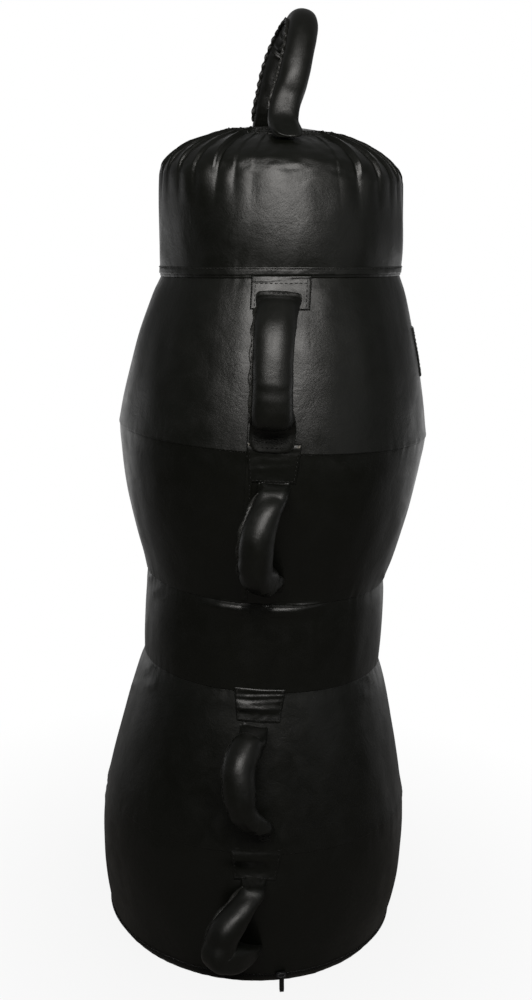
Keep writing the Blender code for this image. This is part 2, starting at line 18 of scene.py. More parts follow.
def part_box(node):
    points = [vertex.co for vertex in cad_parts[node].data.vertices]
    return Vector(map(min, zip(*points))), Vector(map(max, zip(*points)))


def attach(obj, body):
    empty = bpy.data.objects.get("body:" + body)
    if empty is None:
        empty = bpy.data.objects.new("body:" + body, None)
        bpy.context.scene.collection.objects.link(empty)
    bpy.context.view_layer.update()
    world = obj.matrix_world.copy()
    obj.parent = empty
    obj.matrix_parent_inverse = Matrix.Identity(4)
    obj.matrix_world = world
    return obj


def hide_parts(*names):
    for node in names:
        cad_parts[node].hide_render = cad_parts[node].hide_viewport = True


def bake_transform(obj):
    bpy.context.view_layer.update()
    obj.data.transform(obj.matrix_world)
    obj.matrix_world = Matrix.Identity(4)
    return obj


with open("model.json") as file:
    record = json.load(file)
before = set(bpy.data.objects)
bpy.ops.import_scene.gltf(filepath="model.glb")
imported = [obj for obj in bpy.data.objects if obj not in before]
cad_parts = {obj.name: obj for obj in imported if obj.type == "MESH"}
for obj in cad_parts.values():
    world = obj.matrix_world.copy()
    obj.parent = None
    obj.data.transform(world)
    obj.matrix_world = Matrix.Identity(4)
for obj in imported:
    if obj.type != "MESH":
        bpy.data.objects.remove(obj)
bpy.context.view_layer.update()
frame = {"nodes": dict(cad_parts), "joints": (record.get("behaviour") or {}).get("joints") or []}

bl_info = {
    "name": "Grappling bag cover",
    "version": (1, 0, 0),
    "blender": (4, 5, 0),
    "location": "View3D > Sidebar > Bag",
    "description": "Builds the sewn leather, grips, seams and zip of a standing grappling bag",
    "category": "Object",
}

SIDE_PANELS = ("hip_lower", "hip_upper", "waist", "chest_lower", "chest_upper")
GRIPS = ("chest_upper", "chest_lower", "hip_upper", "hip_lower")
JOINT_OF = {joint["child"]: joint for joint in frame["joints"]}


def seam_heights_of_frame():
    """Heights of the seams from the base up to the head, as the packed panels give them."""
    return [round(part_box(name + "_panel")[0].z, 4) for name in (*SIDE_PANELS, "head")]


def linear(code):
    """Scene-linear red, green and blue of an sRGB hex colour."""
    levels = [int(code[k : k + 2], 16) / 255 for k in (1, 3, 5)]
    return tuple(c / 12.92 if c <= 0.04045 else ((c + 0.055) / 1.055) ** 2.4 for c in levels)


def length(name, description, default):
    """A size."""
    return FloatProperty(name=name, description=description, default=default, unit="LENGTH", precision=4)


def lengths(name, description, default):
    """A row of sizes."""
    return FloatVectorProperty(
        name=name, description=description, default=default, size=len(default), unit="LENGTH", precision=4
    )


def share(name, description, default):
    """A part of a whole."""
    return FloatProperty(name=name, description=description, default=default, min=0, max=1, subtype="FACTOR")


def shares(name, description, default):
    """A row of parts of a whole."""
    return FloatVectorProperty(
        name=name, description=description, default=default, size=len(default), min=0, max=1
    )


def angle(name, description, in_degrees):
    """A turn, given in degrees and kept in radians."""
    return FloatProperty(
        name=name, description=description, default=math.radians(in_degrees), unit="ROTATION"
    )


def angles(name, description, in_degrees):
    """A row of turns, given in degrees and kept in radians."""
    return FloatVectorProperty(
        name=name, description=description, default=[math.radians(turn) for turn in in_degrees],
        size=len(in_degrees), unit="ROTATION",
    )


def colour(name, description, code):
    """A colour, given as sRGB hex and kept linear."""
    return FloatVectorProperty(
        name=name, description=description, default=linear(code), size=3, min=0, max=1, subtype="COLOR"
    )


class BagCover(bpy.types.PropertyGroup):
    """Sizes of the sewn cover."""

    seam_heights: lengths("Seam heights", "Seams from the base up to the head", seam_heights_of_frame())
    seam_radii: lengths(
        "Seam radii", "Radius at each seam and at the shoulder",
        (0.2014, 0.2114, 0.1627, 0.1625, 0.2045, 0.1552, 0.1550),
    )
    swells: lengths(
        "Panel swells", "How far each panel swells between its seams",
        (0.0066, 0.0030, 0.0014, 0.0052, 0.0054, 0.0012),
    )
    shoulder_height: length("Shoulder height", "Where the head turns over into the crown", 1.030)
    crown_height: length("Crown height", "Rise of the gathered crown", 0.065)
    crown_opening: length("Crown opening", "Radius where the gathers meet under the crown patch", 0.030)
    wall: length("Cover wall", "Thickness of the leather and its backing", 0.0025)
    groove: length("Seam groove", "How deep a seam draws the panels in", 0.0010)
    roll: length("Seam roll", "How far above a seam the lapped edge turns in", 0.0016)
    dip: length("Seam dip", "How far below a seam the panel is drawn in", 0.0180)
    pucker: length("Seam puckers", "Depth of the small gathers along a seam", 0.0010)
    pucker_reach: length("Pucker reach", "How far the small gathers run from a seam", 0.012)
    waist_swell: length("Waist swell", "Swell of the waist's top edge beside the grip sewn into it", 0.0078)
    slack: length("Slack", "Depth of the broad dents of the loose filling", 0.0022)
    flute: length("Shoulder flutes", "Depth of the folds below the shoulder", 0.0021)
    pleat: length("Crown pleats", "Depth of the pleats on the crown", 0.0054)
    front_lean: share("Front lean", "How steeply the front of the head leans back at its shoulder", 0.130)
    lean_reach: length("Lean reach", "How far below the shoulder the front starts to lean back", 0.090)
    head_lean: length("Head lean", "How far the top of the head stands to the left", 0.0050)
    head_tilt: length("Head tilt", "How much the head's seam rises to the right", 0.0078)
    segments: IntProperty(name="Segments", description="Columns of faces round a panel", default=288)


class BagGrips(bpy.types.PropertyGroup):
    """Sizes of the four grips from the top down, and of the loop."""

    spans: lengths("Spans", "Distance between a grip's ends", (0.1360, 0.1186, 0.1111, 0.0852))
    rises: lengths("Rises", "How far a grip stands out", (0.034, 0.038, 0.038, 0.045))
    widths: lengths("Widths", "Width of each padded tube", (0.0475, 0.0400, 0.0400, 0.0400))
    depths: lengths("Depths", "Depth of each padded tube", (0.0430, 0.0400, 0.0385, 0.0380))
    turns: angles("Turns", "How far each grip flops over", (-3.0, -38.0, -37.0, -50.0))
    lower_azimuths: angles("Lower azimuths", "Azimuth of each lower root", (0.0, 3.7, 2.6, 2.4))
    upper_azimuths: angles("Upper azimuths", "Azimuth of each upper root", (-1.0, 1.7, 1.4, 3.6))
    upper_tapers: shares("Upper tapers", "How much each tube narrows upwards", (0.0, 0.10, 0.04, 0.28))
    lower_tapers: shares("Lower tapers", "How much each tube narrows downwards", (0.0, 0.05, 0.36, 0.0))
    upper_flares: lengths("Upper flares", "Width of each upper root", (0.054, 0.038, 0.036, 0.032))
    lower_flares: lengths("Lower flares", "Width of each lower root", (0.054, 0.030, 0.020, 0.034))
    upper_reaches: lengths("Upper reaches", "Length of each upper root", (0.013, 0.017, 0.020, 0.019))
    lower_reaches: lengths("Lower reaches", "Length of each lower root", (0.040, 0.022, 0.025, 0.020))
    upper_lifts: lengths("Upper lifts", "Height of each upper root", (0.0020, -0.0026, -0.0062, -0.0044))
    lower_lifts: lengths("Lower lifts", "Height of each lower root", (0.0028, 0.0, 0.0, 0.0))
    upper_drifts: lengths("Upper drifts", "Upper roots' set to the right", (0.0020, -0.001, -0.009, -0.009))
    lower_drifts: lengths("Lower drifts", "Lower roots' set to the right", (0.0, -0.003, 0.0075, -0.006))
    sags: lengths("Sags", "Set of each tube's middle to the left", (0.0, 0.001, 0.004, 0.0110))
    elbows: shares("Elbows", "Where along it each tube stands out most", (0.54, 0.34, 0.34, 0.20))
    knees: shares("Knees", "Where along it each tube turns down", (0.69, 0.60, 0.70, 0.50))
    droops: lengths("Droops", "How far each tube's lower end hangs", (0.026, 0.002, 0.002, 0.0))
    crests: lengths("Crests", "How far each tube's upper end stands up", (0.002, 0.003, 0.008, 0.003))
    toes: lengths("Toes", "How far each tube's lower end kicks out", (0.0, 0.0, 0.0, 0.0060))
    fillings: shares("Fillings", "Share of the rise where each upper end is full", (0.42, 1.0, 0.42, 1.0))
    necks: shares("Necks", "Share of the rise where each lower end is flat", (0.10, 0.0, 0.0, 0.0))
    flatness: share("Flatness", "How flat the front of a padded tube is", 0.10)
    standoff: length("Standoff", "Distance of a grip's hinge line from the bag", 0.0181)
    lip: length("Lip", "Height of the stitched lip along a tube", 0.0036)
    lip_turns: angles("Lip turns", "Place of each lip round its tube from the right", (166, 158, 166, 164))
    loop_span: length("Loop span", "Distance between the loop's feet", 0.125)
    loop_rise: length("Loop rise", "Height of the loop over its feet", 0.1160)
    loop_girth: length("Loop girth", "Thickness of the loop's padded tube", 0.037)
    loop_lean: angle("Loop lean", "Lean of the loop to the right", 11.6)


class BagTrim(bpy.types.PropertyGroup):
    """Sizes of patches, stitches and zip."""

    patch_width: length("Patch width", "Width of a grip's patch at its head", 0.066)
    patch_foot: length("Patch foot", "Width of a grip's patch at its foot", 0.056)
    patch_height: length("Patch height", "Height of a grip's patch", 0.042)
    patch_overlap: length("Patch overlap", "How far a patch reaches over the seam above", 0.006)
    patch_thickness: length("Patch thickness", "Thickness of a patch", 0.0020)
    patch_azimuths: angles("Patch azimuths", "Azimuth of each grip's patch", (0.0, 0.7, 0.0, 1.5))
    side_patch: length("Side patch", "Width and height of the blank side patch", 0.062)
    crown_patch: length("Crown patch", "Radius of the round patch under the loop", 0.085)
    band_height: length("Band height", "Height of the lapped band at the head's seam", 0.0095)
    stitch: length("Stitch", "Length of one stitch", 0.0038)
    stitch_gap: length("Stitch gap", "Leather between two stitches", 0.0014)
    thread: length("Thread", "Thickness of the sewing thread", 0.0010)
    coil_pitch: length("Zip pitch", "Distance between two turns of the zip's coil", 0.0019)


class BagColours(bpy.types.PropertyGroup):
    """Colours of the finishes."""

    leather: colour("Leather", "Black synthetic leather", "#060704")
    worn: colour("Worn leather", "Leather rubbed grey along folds and seams", "#191915")
    thread: colour("Thread", "Sewing thread", "#0a0a08")
    # The pale colour of the bar tacks' thread is a painted glint: it paints the bright spots of light on the
    # shiny tacks.
    tack_glint: colour("Tack thread", "Pale thread of the bar tacks, a painted glint", "#6a6760")
    tape: colour("Zip tape", "Woven tape and coil of the zip", "#0c0c0b")
    metal: colour("Zip metal", "Painted slider", "#141416")
    bare_metal: colour("Bare metal", "Zinc where the slider's paint is worn through", "#59595b")
    strap: colour("Webbing", "Webbing in the grips", "#0e0e0d")
    textile: colour("Filling", "Shredded textile filling", "#7f7b75")
    canvas: colour("Canvas", "Cotton canvas of the sand's sleeve", "#aba48f")
    sand: colour("Sand", "Dry sand", "#b7a37f")
    floor: colour("Floor", "Matt paper floor", "#74726f")


class BagStudio(bpy.types.PropertyGroup):
    """Camera and lights."""

    lens: FloatProperty(name="Lens", description="Focal length in millimetres", default=42.34)
    eye: lengths("Eye", "Place of the camera", (-0.004, -1.561, 0.976))
    pitch: angle("Pitch", "Tilt of the camera downwards", 13.13)
    roll: angle("Roll", "Roll of the camera", 2.8)
    key: FloatProperty(name="Key", description="Power of the front softbox in watts", default=29)
    fill: FloatProperty(name="Fill", description="Power of the large side softbox in watts", default=3)
    room: share("Room light", "Strength of the room's light from behind the bag", 0.16)


def smooth(x):
    """An even step from 0 to 1."""
    x = min(max(x, 0.0), 1.0)
    return x * x * (3 - 2 * x)


def outward(azimuth):
    """Level direction away from the axis; azimuth 0 is the front, in radians."""
    return Vector((math.sin(azimuth), -math.cos(azimuth), 0))


def sideways(azimuth):
    """Level direction along the bag's side, to the right when seen from the front."""
    return Vector((math.cos(azimuth), math.sin(azimuth), 0))


def round_noise(azimuth, scale, layer):
    """Noise that closes on itself round the bag."""
    return noise.noise(Vector((math.sin(azimuth) * scale, math.cos(azimuth) * scale, layer)))


def crown_folds():
    """Folds round both sides: azimuth in degrees, and depths of pleat and flute as shares."""
    draw = random.Random(11)
    left = [(13, 0.10, 0.55), (22, 0.2, 0.8), (31, 1.0, 1.0), (42, 0.55, 1.0)]
    right = [(27, 0.15, 0.7), (38, 1.0, 0.9)]
    for side in (left, right):
        at = side[-1][0] + draw.uniform(9, 12)
        while at < 172:
            side.append((at, draw.uniform(0.5, 1.0), draw.uniform(0.5, 1.0)))
            at += draw.uniform(8.5, 13.5)
        side.append((180, 0, 0))
    return left, right


def seam_pinches(seams):
    """Short folds beside the seams: azimuth, height, half length, half width, slant and depth of each."""
    found = []
    for turn, seam, above in (
        (-66, 2, -0.012), (-58, 2, -0.026), (64, 2, -0.012), (55, 2, -0.022),
        (-74, 3, -0.010), (-62, 3, -0.018), (70, 3, 0.012), (-80, 2, -0.052),
    ):
        slant = 0.45 if turn < 0 else -0.45
        found.append((math.radians(turn), seams[seam] + above, 0.016, 0.0032, slant, 0.0018))
    draw = random.Random(5)
    for _ in range(26):
        turn = math.radians(draw.uniform(84, 276))
        seam = seams[draw.choice((1, 2, 2, 3, 3, 4))]
        above = draw.choice((-1, 1)) * draw.uniform(0.009, 0.026)
        half_length = draw.uniform(0.010, 0.020)
        found.append((turn, seam + above, half_length, 0.0035, draw.uniform(-0.5, 0.5), 0.0016))
    return found


class BagSkin:
    """The rule for the bag's outer side: a point for any azimuth in radians and height."""

    def __init__(self, cover):
        self.cover = cover
        self.seams = [*cover.seam_heights, cover.shoulder_height]
        self.radii = list(cover.seam_radii)
        self.swells = list(cover.swells)
        self.folds = crown_folds()
        self.pinches = seam_pinches(self.seams)

    def plain_radius(self, height):
        """Radius of the bag without seams, folds and slack."""
        k = max(k for k in range(6) if k == 0 or height >= self.seams[k])
        at = (height - self.seams[k]) / (self.seams[k + 1] - self.seams[k])
        at = min(max(at, 0), 1)
        return self.radii[k] + (self.radii[k + 1] - self.radii[k]) * at + self.swells[k] * 4 * at * (1 - at)

    def fold(self, azimuth):
        """(pleat, flute) at an azimuth: a pleat steps up at its fold and falls away behind it."""
        turn = math.degrees(math.remainder(azimuth, math.tau))
        folds = self.folds[1] if turn > 0 else self.folds[0]
        turn = abs(turn)
        before = max((f for f in folds if f[0] <= turn), default=(-folds[0][0], 0, 0))
        after = min((f for f in folds if f[0] > turn), default=(180.1, 0, 0))
        along = (turn - before[0]) / (after[0] - before[0])
        pleat = before[1] * (1 - along) ** 1.4 - 0.45 * after[1] * smooth((along - 0.8) / 0.2)
        if before[1]:
            pleat *= smooth((turn - before[0]) / 0.9)
        if after[0] - before[0] < 18:
            return pleat, before[2] * math.sin(math.pi * min(along * 1.15, 1)) - 0.5
        return pleat, -0.35 * smooth(along * 6 - 5)

    def lean(self, height):
        """Set of the bag's axis, which leans to the left in the head."""
        return Vector((-self.cover.head_lean * smooth((height - 0.94) / 0.10), 0, 0))

    def tilt(self, azimuth, height):
        """Rise of the head's seam, which runs up to the right; panels next to it stretch along."""
        side = math.sin(azimuth)
        near = smooth(1 - abs(height - self.seams[5]) / 0.085)
        return self.cover.head_tilt * (side - 0.28 * side * side) * near

    def slack(self, azimuth, height):
        """Broad dents and swells of the loose filling."""
        x, y = math.sin(azimuth) * 0.18, math.cos(azimuth) * 0.18
        broad = noise.noise(Vector((x / 0.085, y / 0.085, height / 0.15)))
        small = noise.noise(Vector((x / 0.030 + 9, y / 0.030, height / 0.055)))
        return self.cover.slack * (broad + 0.42 * small)

    def puckers(self, azimuth, seam, away):
        """Small gathers that run from a seam, deepest on it."""
        x, y = math.sin(azimuth) / 0.055, math.cos(azimuth) / 0.055
        fine = noise.noise(Vector((x, y, seam * 4.7)))
        broad = (0.6 if seam < 5 else 0.25) + 0.9 * noise.noise(Vector((x / 7, y / 7, seam * 3.1 + 5)))
        ridge = 1 - 2.2 * abs(fine)
        return self.cover.pucker * broad * ridge * math.exp(-away / self.cover.pucker_reach)

    def pull(self, azimuth, height):
        """Swell of the waist's top edge on both sides of the grip that is sewn into that seam."""
        turn = math.degrees(math.remainder(azimuth, math.tau))
        below = self.seams[3] - height
        if not (-0.012 < below < 0.03 and abs(turn) < 42):
            return 0.0
        spread = smooth((33 - abs(turn + 1)) / 16) * smooth((abs(turn + 3) - 1.5) / 6)
        rise = 0.004 * smooth((turn - 6) / 22)
        crest, half_height = 0.0075, 0.0066
        return self.cover.waist_swell * spread * math.exp(-(((below + rise - crest) / half_height) ** 2))

    def radius(self, azimuth, height, over=False):
        """Radius of the dressed side. over leaves out what a piece laid on the side bridges."""
        cover = self.cover
        away, seam = min((abs(height - z), k) for k, z in enumerate(self.seams[:6]))
        calm = smooth(away / 0.030)
        radius = self.plain_radius(height) + self.slack(azimuth, height) * (0.25 + 0.75 * calm)
        radius += self.pull(azimuth, height)
        if not over:
            radius += self.puckers(azimuth, seam, away)
            if height < self.seams[seam]:
                radius -= cover.groove * smooth(1 - away / cover.dip)
            elif away < cover.roll:
                radius -= cover.groove * (1 - math.sqrt(1 - (1 - away / cover.roll) ** 2))
        for turn, place, wide, tall, slant, depth in self.pinches:
            side = math.remainder(azimuth - turn, math.tau) * 0.17
            if abs(side) < 3 * wide and abs(height - place) < 3 * tall:
                ridge = (height - place - slant * side) / tall
                radius += depth * math.exp(-ridge * ridge - (side / wide) ** 2)
        half_turn, drop, half_height = 0.21, 0.023, 0.015
        for seam, depth in ((1, 0.0065), (2, 0.0015)):  # hollows that the two lower grips' patches press
            beside = math.remainder(azimuth - 0.01, math.tau) / half_turn
            under = (self.seams[seam] - drop - height) / half_height
            if abs(beside) < 3 and abs(under) < 3:
                radius -= depth * math.exp(-beside * beside - under * under)
        below = cover.shoulder_height - height
        if below < 0.10:
            pleat, flute = self.fold(azimuth)
            reach = 0.010 + 0.014 * (1 + round_noise(azimuth, 4, 2))
            radius += cover.flute * flute * math.exp(-((below / reach) ** 1.8))
            radius += 0.12 * cover.pleat * pleat * math.exp(-below / 0.012)
            leaning = max(cover.lean_reach - below, 0) ** 2 / (2 * cover.lean_reach)
            radius -= self.front(azimuth) * cover.front_lean * leaning
        return radius

    def front(self, azimuth):
        """1 over the smooth gore at the front of the head, and 0 round the rest."""
        turn = math.degrees(math.remainder(azimuth - 0.05, math.tau))
        return smooth((46 - abs(turn)) / 16)

    def point(self, azimuth, height, lift=0.0, over=True):
        """A point at a distance off the side."""
        step = 0.002
        slope = (self.plain_radius(height + step) - self.plain_radius(height - step)) / (2 * step)
        radius = self.radius(azimuth, height, over) + lift * math.hypot(1, slope)
        rise = Vector((0, 0, height + self.tilt(azimuth, height)))
        return outward(azimuth) * radius + rise + self.lean(height)

    def normal(self, azimuth, height):
        """Direction off the bag's side, without its small folds."""
        step = 0.004
        slope = (self.plain_radius(height + step) - self.plain_radius(height - step)) / (2 * step)
        return (outward(azimuth) - Vector((0, 0, slope))).normalized()

    def crown(self, azimuth, angle, lift=0.0):
        """A point on the gathered crown; angle is 0 on the shoulder and grows towards the top."""
        cover = self.cover
        wide, tall = self.radii[6], cover.crown_height
        last = math.acos(cover.crown_opening / wide)
        at = angle / last
        pleat, flute = self.fold(azimuth)
        held = smooth((wide * math.cos(angle) - 0.050) / 0.040)
        swell = cover.flute * flute * (1 - smooth(at / 0.18))
        swell += cover.pleat * pleat * (0.12 + 0.88 * smooth(at / 0.25)) * (0.2 + 0.8 * held)
        slack = self.slack(azimuth, cover.shoulder_height + angle * 0.08)
        swell += slack * (1 - 0.3 * smooth(at / 0.2)) * held
        swell += 0.0008 * round_noise(azimuth, 9, angle * 9) * held * smooth(at / 0.15)
        if held < 1:
            swell = min(swell, 0.0) * (0.3 + 0.7 * held) + max(swell, 0.0) * held
        off = Vector((math.cos(angle) / wide, 0, math.sin(angle) / tall)).normalized() * (swell + lift)
        plain = wide * math.cos(angle)
        wall = wide - cover.front_lean * (cover.lean_reach / 2 + tall * math.sin(angle))
        top = plain - 0.0022 * smooth(plain / wide * 3 - 1)
        edge = 0.0035
        rounded = edge * math.log(1 + math.exp(-abs(top - wall) / edge))
        pressed = min(top, wall) - rounded * smooth(at / 0.16)
        out = outward(azimuth) * (plain + (pressed - plain) * self.front(azimuth) + off.x)
        height = cover.shoulder_height + tall * math.sin(angle) + off.z
        return out + Vector((0, 0, height)) + self.lean(cover.shoulder_height)

    def crown_top(self, x, y, lift=0.0):
        """A point over the crown's plain side at a place seen from above."""
        middle = self.lean(self.cover.shoulder_height)
        reach = min(math.hypot(x - middle.x, y - middle.y) / self.radii[6], 1)
        rise = self.cover.crown_height * math.sqrt(1 - reach**2)
        return Vector((x, y, self.cover.shoulder_height + rise + lift))


def mesh_piece(name, points, faces, material):
    """A smooth-shaded object from a list of points and faces."""
    mesh = bpy.data.meshes.new(name)
    mesh.from_pydata([tuple(p) for p in points], [], faces)
    mesh.validate()
    mesh.shade_smooth()
    mesh.materials.append(material)
    piece = bpy.data.objects.new(name, mesh)
    bpy.context.scene.collection.objects.link(piece)
    return piece


def grid_faces(rows, columns, wrap_rows=False, wrap_columns=True, start=0):
    """Faces of a grid of points that may close on itself either way."""
    faces = []
    for r in range(rows if wrap_rows else rows - 1):
        for c in range(columns if wrap_columns else columns - 1):
            below = start + r * columns
            above = start + (r + 1) % rows * columns
            after = (c + 1) % columns
            faces.append((below + c, below + after, above + after, above + c))
    return faces


def capped_faces(rows, columns, start=0):
    """Faces of a row of rings, with a cap at both ends."""
    last = start + (rows - 1) * columns
    caps = [tuple(reversed(range(start, start + columns))), tuple(range(last, last + columns))]
    return grid_faces(rows, columns, start=start) + caps


def ring_piece(name, rows, material, caps=False):
    """A piece from rings of as many points each, with capped ends, or else closed ring to ring."""
    columns = len(rows[0])
    faces = capped_faces(len(rows), columns) if caps else grid_faces(len(rows), columns, wrap_rows=True)
    return mesh_piece(name, [p for row in rows for p in row], faces, material)


def add_bead(points, faces, spine, across, off, sides=6):
    """Adds a small capped tube. spine holds its centres and thicknesses; across and off are its half axes."""
    start = len(points)
    for centre, thick in spine:
        for k in range(sides):
            turn = math.tau * k / sides
            points.append(centre + (across * math.cos(turn) + off * math.sin(turn)) * thick)
    faces += capped_faces(len(spine), sides, start)


def azimuths(segments):
    """Evenly spaced azimuths, from the back round to the back."""
    return [math.tau * k / segments - math.pi for k in range(segments)]


def add_wear(piece, worth):
    """Stores how rubbed each point is, from 0 to 1, for the leather's material."""
    layer = piece.data.attributes.new("wear", "FLOAT", "POINT")
    layer.data.foreach_set("value", [worth(vert.co) for vert in piece.data.vertices])


def dress(piece, body="bag", replaced=()):
    """Attaches a piece to its body, and hides the frame nodes that it stands for."""
    if body:
        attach(piece, body)
    if replaced:
        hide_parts(*replaced)
    return piece


def seam_rows(bottom, top, roll):
    """Heights up a panel, close together where it rounds over into its seams."""
    near = [roll * part for part in (0.06, 0.16, 0.3, 0.48, 0.7, 1.0, 1.35, 1.8)]
    low, high = bottom + near[-1], top - near[-1]
    count = max(2, round((high - low) / 0.0062))
    middle = [low + (high - low) * k / count for k in range(1, count)]
    return [bottom + z for z in near] + middle + [top - z for z in reversed(near)]


def add_side_panel(skin, name, index, material):
    """One sewn ring of leather, rolled in at both seams, with its inner side."""
    cover = skin.cover
    bottom, top = skin.seams[index] + 0.0002, skin.seams[index + 1] - 0.0002
    turns = azimuths(cover.segments)
    heights = seam_rows(bottom, top, cover.roll)
    outer = [[skin.point(a, z, over=False) for a in turns] for z in [bottom, *heights, top]]
    inside = [top, *heights[::-6], bottom]
    inner = [[skin.point(a, z, -cover.wall - cover.groove, over=True) for a in turns] for z in inside]
    piece = ring_piece(name + "_cover", outer + inner, material)
    ends = (bottom, top)
    add_wear(piece, lambda co: 0.22 * math.exp(-min(abs(co.z - z) for z in ends) / 0.006))
    return dress(piece, replaced=[name + "_panel"])


def add_head(skin, material):
    """Head panel, upright to the shoulder and drawn together in pleats over the crown."""
    cover = skin.cover
    turns = azimuths(540)
    bottom = skin.seams[5] + 0.0002
    shoulder = cover.shoulder_height
    heights = [z for z in seam_rows(bottom, shoulder, cover.roll) if z < shoulder - 0.002]
    last = math.acos(cover.crown_opening / skin.radii[6])
    steps = 46
    climb = [last * (k / steps) ** 1.15 for k in range(steps + 1)]
    outer = [[skin.point(a, z, over=False) for a in turns] for z in [bottom, *heights]]
    outer += [[skin.crown(a, up) for a in turns] for up in climb]
    inner = [[skin.crown(a, up, -cover.wall) for a in turns] for up in climb[::-5]]
    inner += [[skin.point(a, z, -cover.wall - cover.groove) for a in turns] for z in [*heights[::-6], bottom]]
    piece = ring_piece("head_cover", outer + inner, material)

    def worth(co):
        at_seam = 0.45 * math.exp(-abs(co.z - bottom) / 0.006)
        at_shoulder = 0.35 * math.exp(-(((co.z - shoulder) / 0.012) ** 2))
        return max(at_seam, at_shoulder)

    add_wear(piece, worth)
    return dress(piece, replaced=["head_panel"])


def add_base(skin, material):
    """Round bottom with its rim turned up to the zip."""
    cover = skin.cover
    top = skin.seams[0] - 0.0003
    reach = skin.radii[0] - 0.0022
    flat = reach - 0.0185
    turns = azimuths(cover.segments)

    def ring(radius, height, dent=0.0):
        lifted = Vector((0, 0, height))
        return [outward(a) * (radius + round_noise(a, 22, 3) * dent) + lifted for a in turns]

    outer = []
    for k in range(13):
        up = math.pi / 2 * k / 12
        radius = flat + (reach - flat) * math.sin(up)
        outer.append(ring(radius, top * (1 - math.cos(up)), 0.0009 * math.sin(2 * up)))
    floor = [ring(flat * part, 0.0) for part in (0.02, 0.3, 0.6, 0.85)]
    inner = [ring(reach - cover.wall, top), ring(flat, cover.wall), ring(flat * 0.02, cover.wall)]
    piece = ring_piece("base_cover", floor + outer + inner, material)
    add_wear(piece, lambda co: smooth((math.hypot(co.x, co.y) - flat) / 0.012) * smooth(1.5 - co.z / 0.010))
    return dress(piece, replaced=["base_panel"])


def laid_piece(name, place, across, along, thickness, material, edge=0.0022, relief=None):
    """A thin piece with rounded edges on a surface.

    place(u, v, lift) gives a point; u runs over across and v over along, both lists of lengths that
    start at the piece's low edge. relief(u, v) is added to the thickness.
    """
    columns, rows = len(across), len(along)

    def top(u, v):
        gap = min(u - across[0], across[-1] - u, v - along[0], along[-1] - v)
        round_over = math.sqrt(1 - (1 - min(gap / edge, 1)) ** 2)
        return thickness * (0.12 + 0.88 * round_over) + (relief(u, v) * round_over if relief else 0)

    points = [place(u, v, top(u, v)) for v in along for u in across]
    points += [place(u, v, 0.0001) for v in along for u in across]
    faces = grid_faces(rows, columns, wrap_columns=False)
    under = grid_faces(rows, columns, wrap_columns=False, start=rows * columns)
    faces += [tuple(reversed(face)) for face in under]
    rim = list(range(columns))
    rim += [r * columns + columns - 1 for r in range(1, rows)]
    rim += [(rows - 1) * columns + c for c in range(columns - 2, -1, -1)]
    rim += [r * columns for r in range(rows - 2, 0, -1)]
    drop = rows * columns
    for a, b in zip(rim, rim[1:] + rim[:1]):
        faces.append((b, a, a + drop, b + drop))
    return mesh_piece(name, points, faces, material)


def even_steps(low, high, step, edge=0.0024):
    """Positions across a laid piece, with extra ones where its edge rounds over."""
    count = max(2, round((high - low - 2 * edge) / step))
    inner = [low + edge + (high - low - 2 * edge) * k / count for k in range(count + 1)]
    near = [edge * part for part in (0.0, 0.08, 0.25, 0.55)]
    return [low + n for n in near] + inner + [high - n for n in reversed(near)]


def stitch_line(skin_place, start, end, trim):
    """Stitches as (middle, direction, normal) along a straight run of a surface's own coordinates."""
    pitch = trim.stitch + trim.stitch_gap
    run = math.dist(start, end)
    count = max(1, int(run / pitch))
    found = []
    for k in range(count):
        at = (k + 0.5) / count
        u, v = (a + (b - a) * at for a, b in zip(start, end))
        du, dv = ((b - a) / run * 0.001 for a, b in zip(start, end))
        middle = skin_place(u, v, 0)
        ahead = skin_place(u + du, v + dv, 0)
        off = skin_place(u, v, 0.001)
        found.append((middle, (ahead - middle).normalized(), (off - middle).normalized()))
    return found


def stitch_turns(radius, trim):
    """Azimuths of the stitches in a row round the bag."""
    count = int(math.tau * radius / (trim.stitch + trim.stitch_gap))
    return [math.tau * k / count for k in range(count)]


def add_stitches(name, runs, trim, material, body="bag"):
    """One mesh of short, sunk-in thread arches."""
    profile = (  # place along, thickness and rise
        (-0.5, 0.25, -0.35), (-0.42, 0.8, 0.15), (-0.2, 1.0, 0.5), (0.0, 1.0, 0.6),
        (0.2, 1.0, 0.5), (0.42, 0.8, 0.15), (0.5, 0.25, -0.35),
    )
    half = trim.thread / 2
    points, faces = [], []
    for middle, along, off in runs:
        spine = [
            (middle + along * (at * trim.stitch) + off * (rise * trim.thread * 0.6), thick)
            for at, thick, rise in profile
        ]
        add_bead(points, faces, spine, along.cross(off) * half, off * half)
    return dress(mesh_piece(name, points, faces, material), body)


def bar_tack(place, u, v, width, rows, trim):
    """A short bar of close stitches, as (middle, direction, normal)."""
    found = []
    for k in range(rows):
        at = v + (k - (rows - 1) / 2) * trim.thread * 0.9
        skew = trim.thread * (0.5 if k % 2 else -0.5)
        found += stitch_line(place, (u - width / 2, at - skew), (u + width / 2, at + skew), trim)[:2]
    return found


def side_place(skin, middle, lift=0.0):
    """place(u, v, lift) for a piece laid on the bag's side: u is across from an azimuth, v is the height."""

    def place(u, v, height):
        return skin.point(middle + u / skin.plain_radius(v), v, lift + height)

    return place


# Folds sewn into each patch: rolls across it, as (distance below its top, width, height).
PATCH_ROLLS = {
    "chest_upper": [(0.0035, 0.0030, 0.0009)],
    "chest_lower": [(0.0300, 0.0045, 0.0009), (0.0215, 0.0045, 0.0006), (0.0065, 0.0040, 0.0008)],
    "hip_upper": [(0.0035, 0.0024, 0.0007), (0.0098, 0.0026, 0.0008), (0.0170, 0.0030, 0.0006)],
    "hip_lower": [(0.0045, 0.0040, 0.0008), (0.0155, 0.0040, 0.0006)],
}


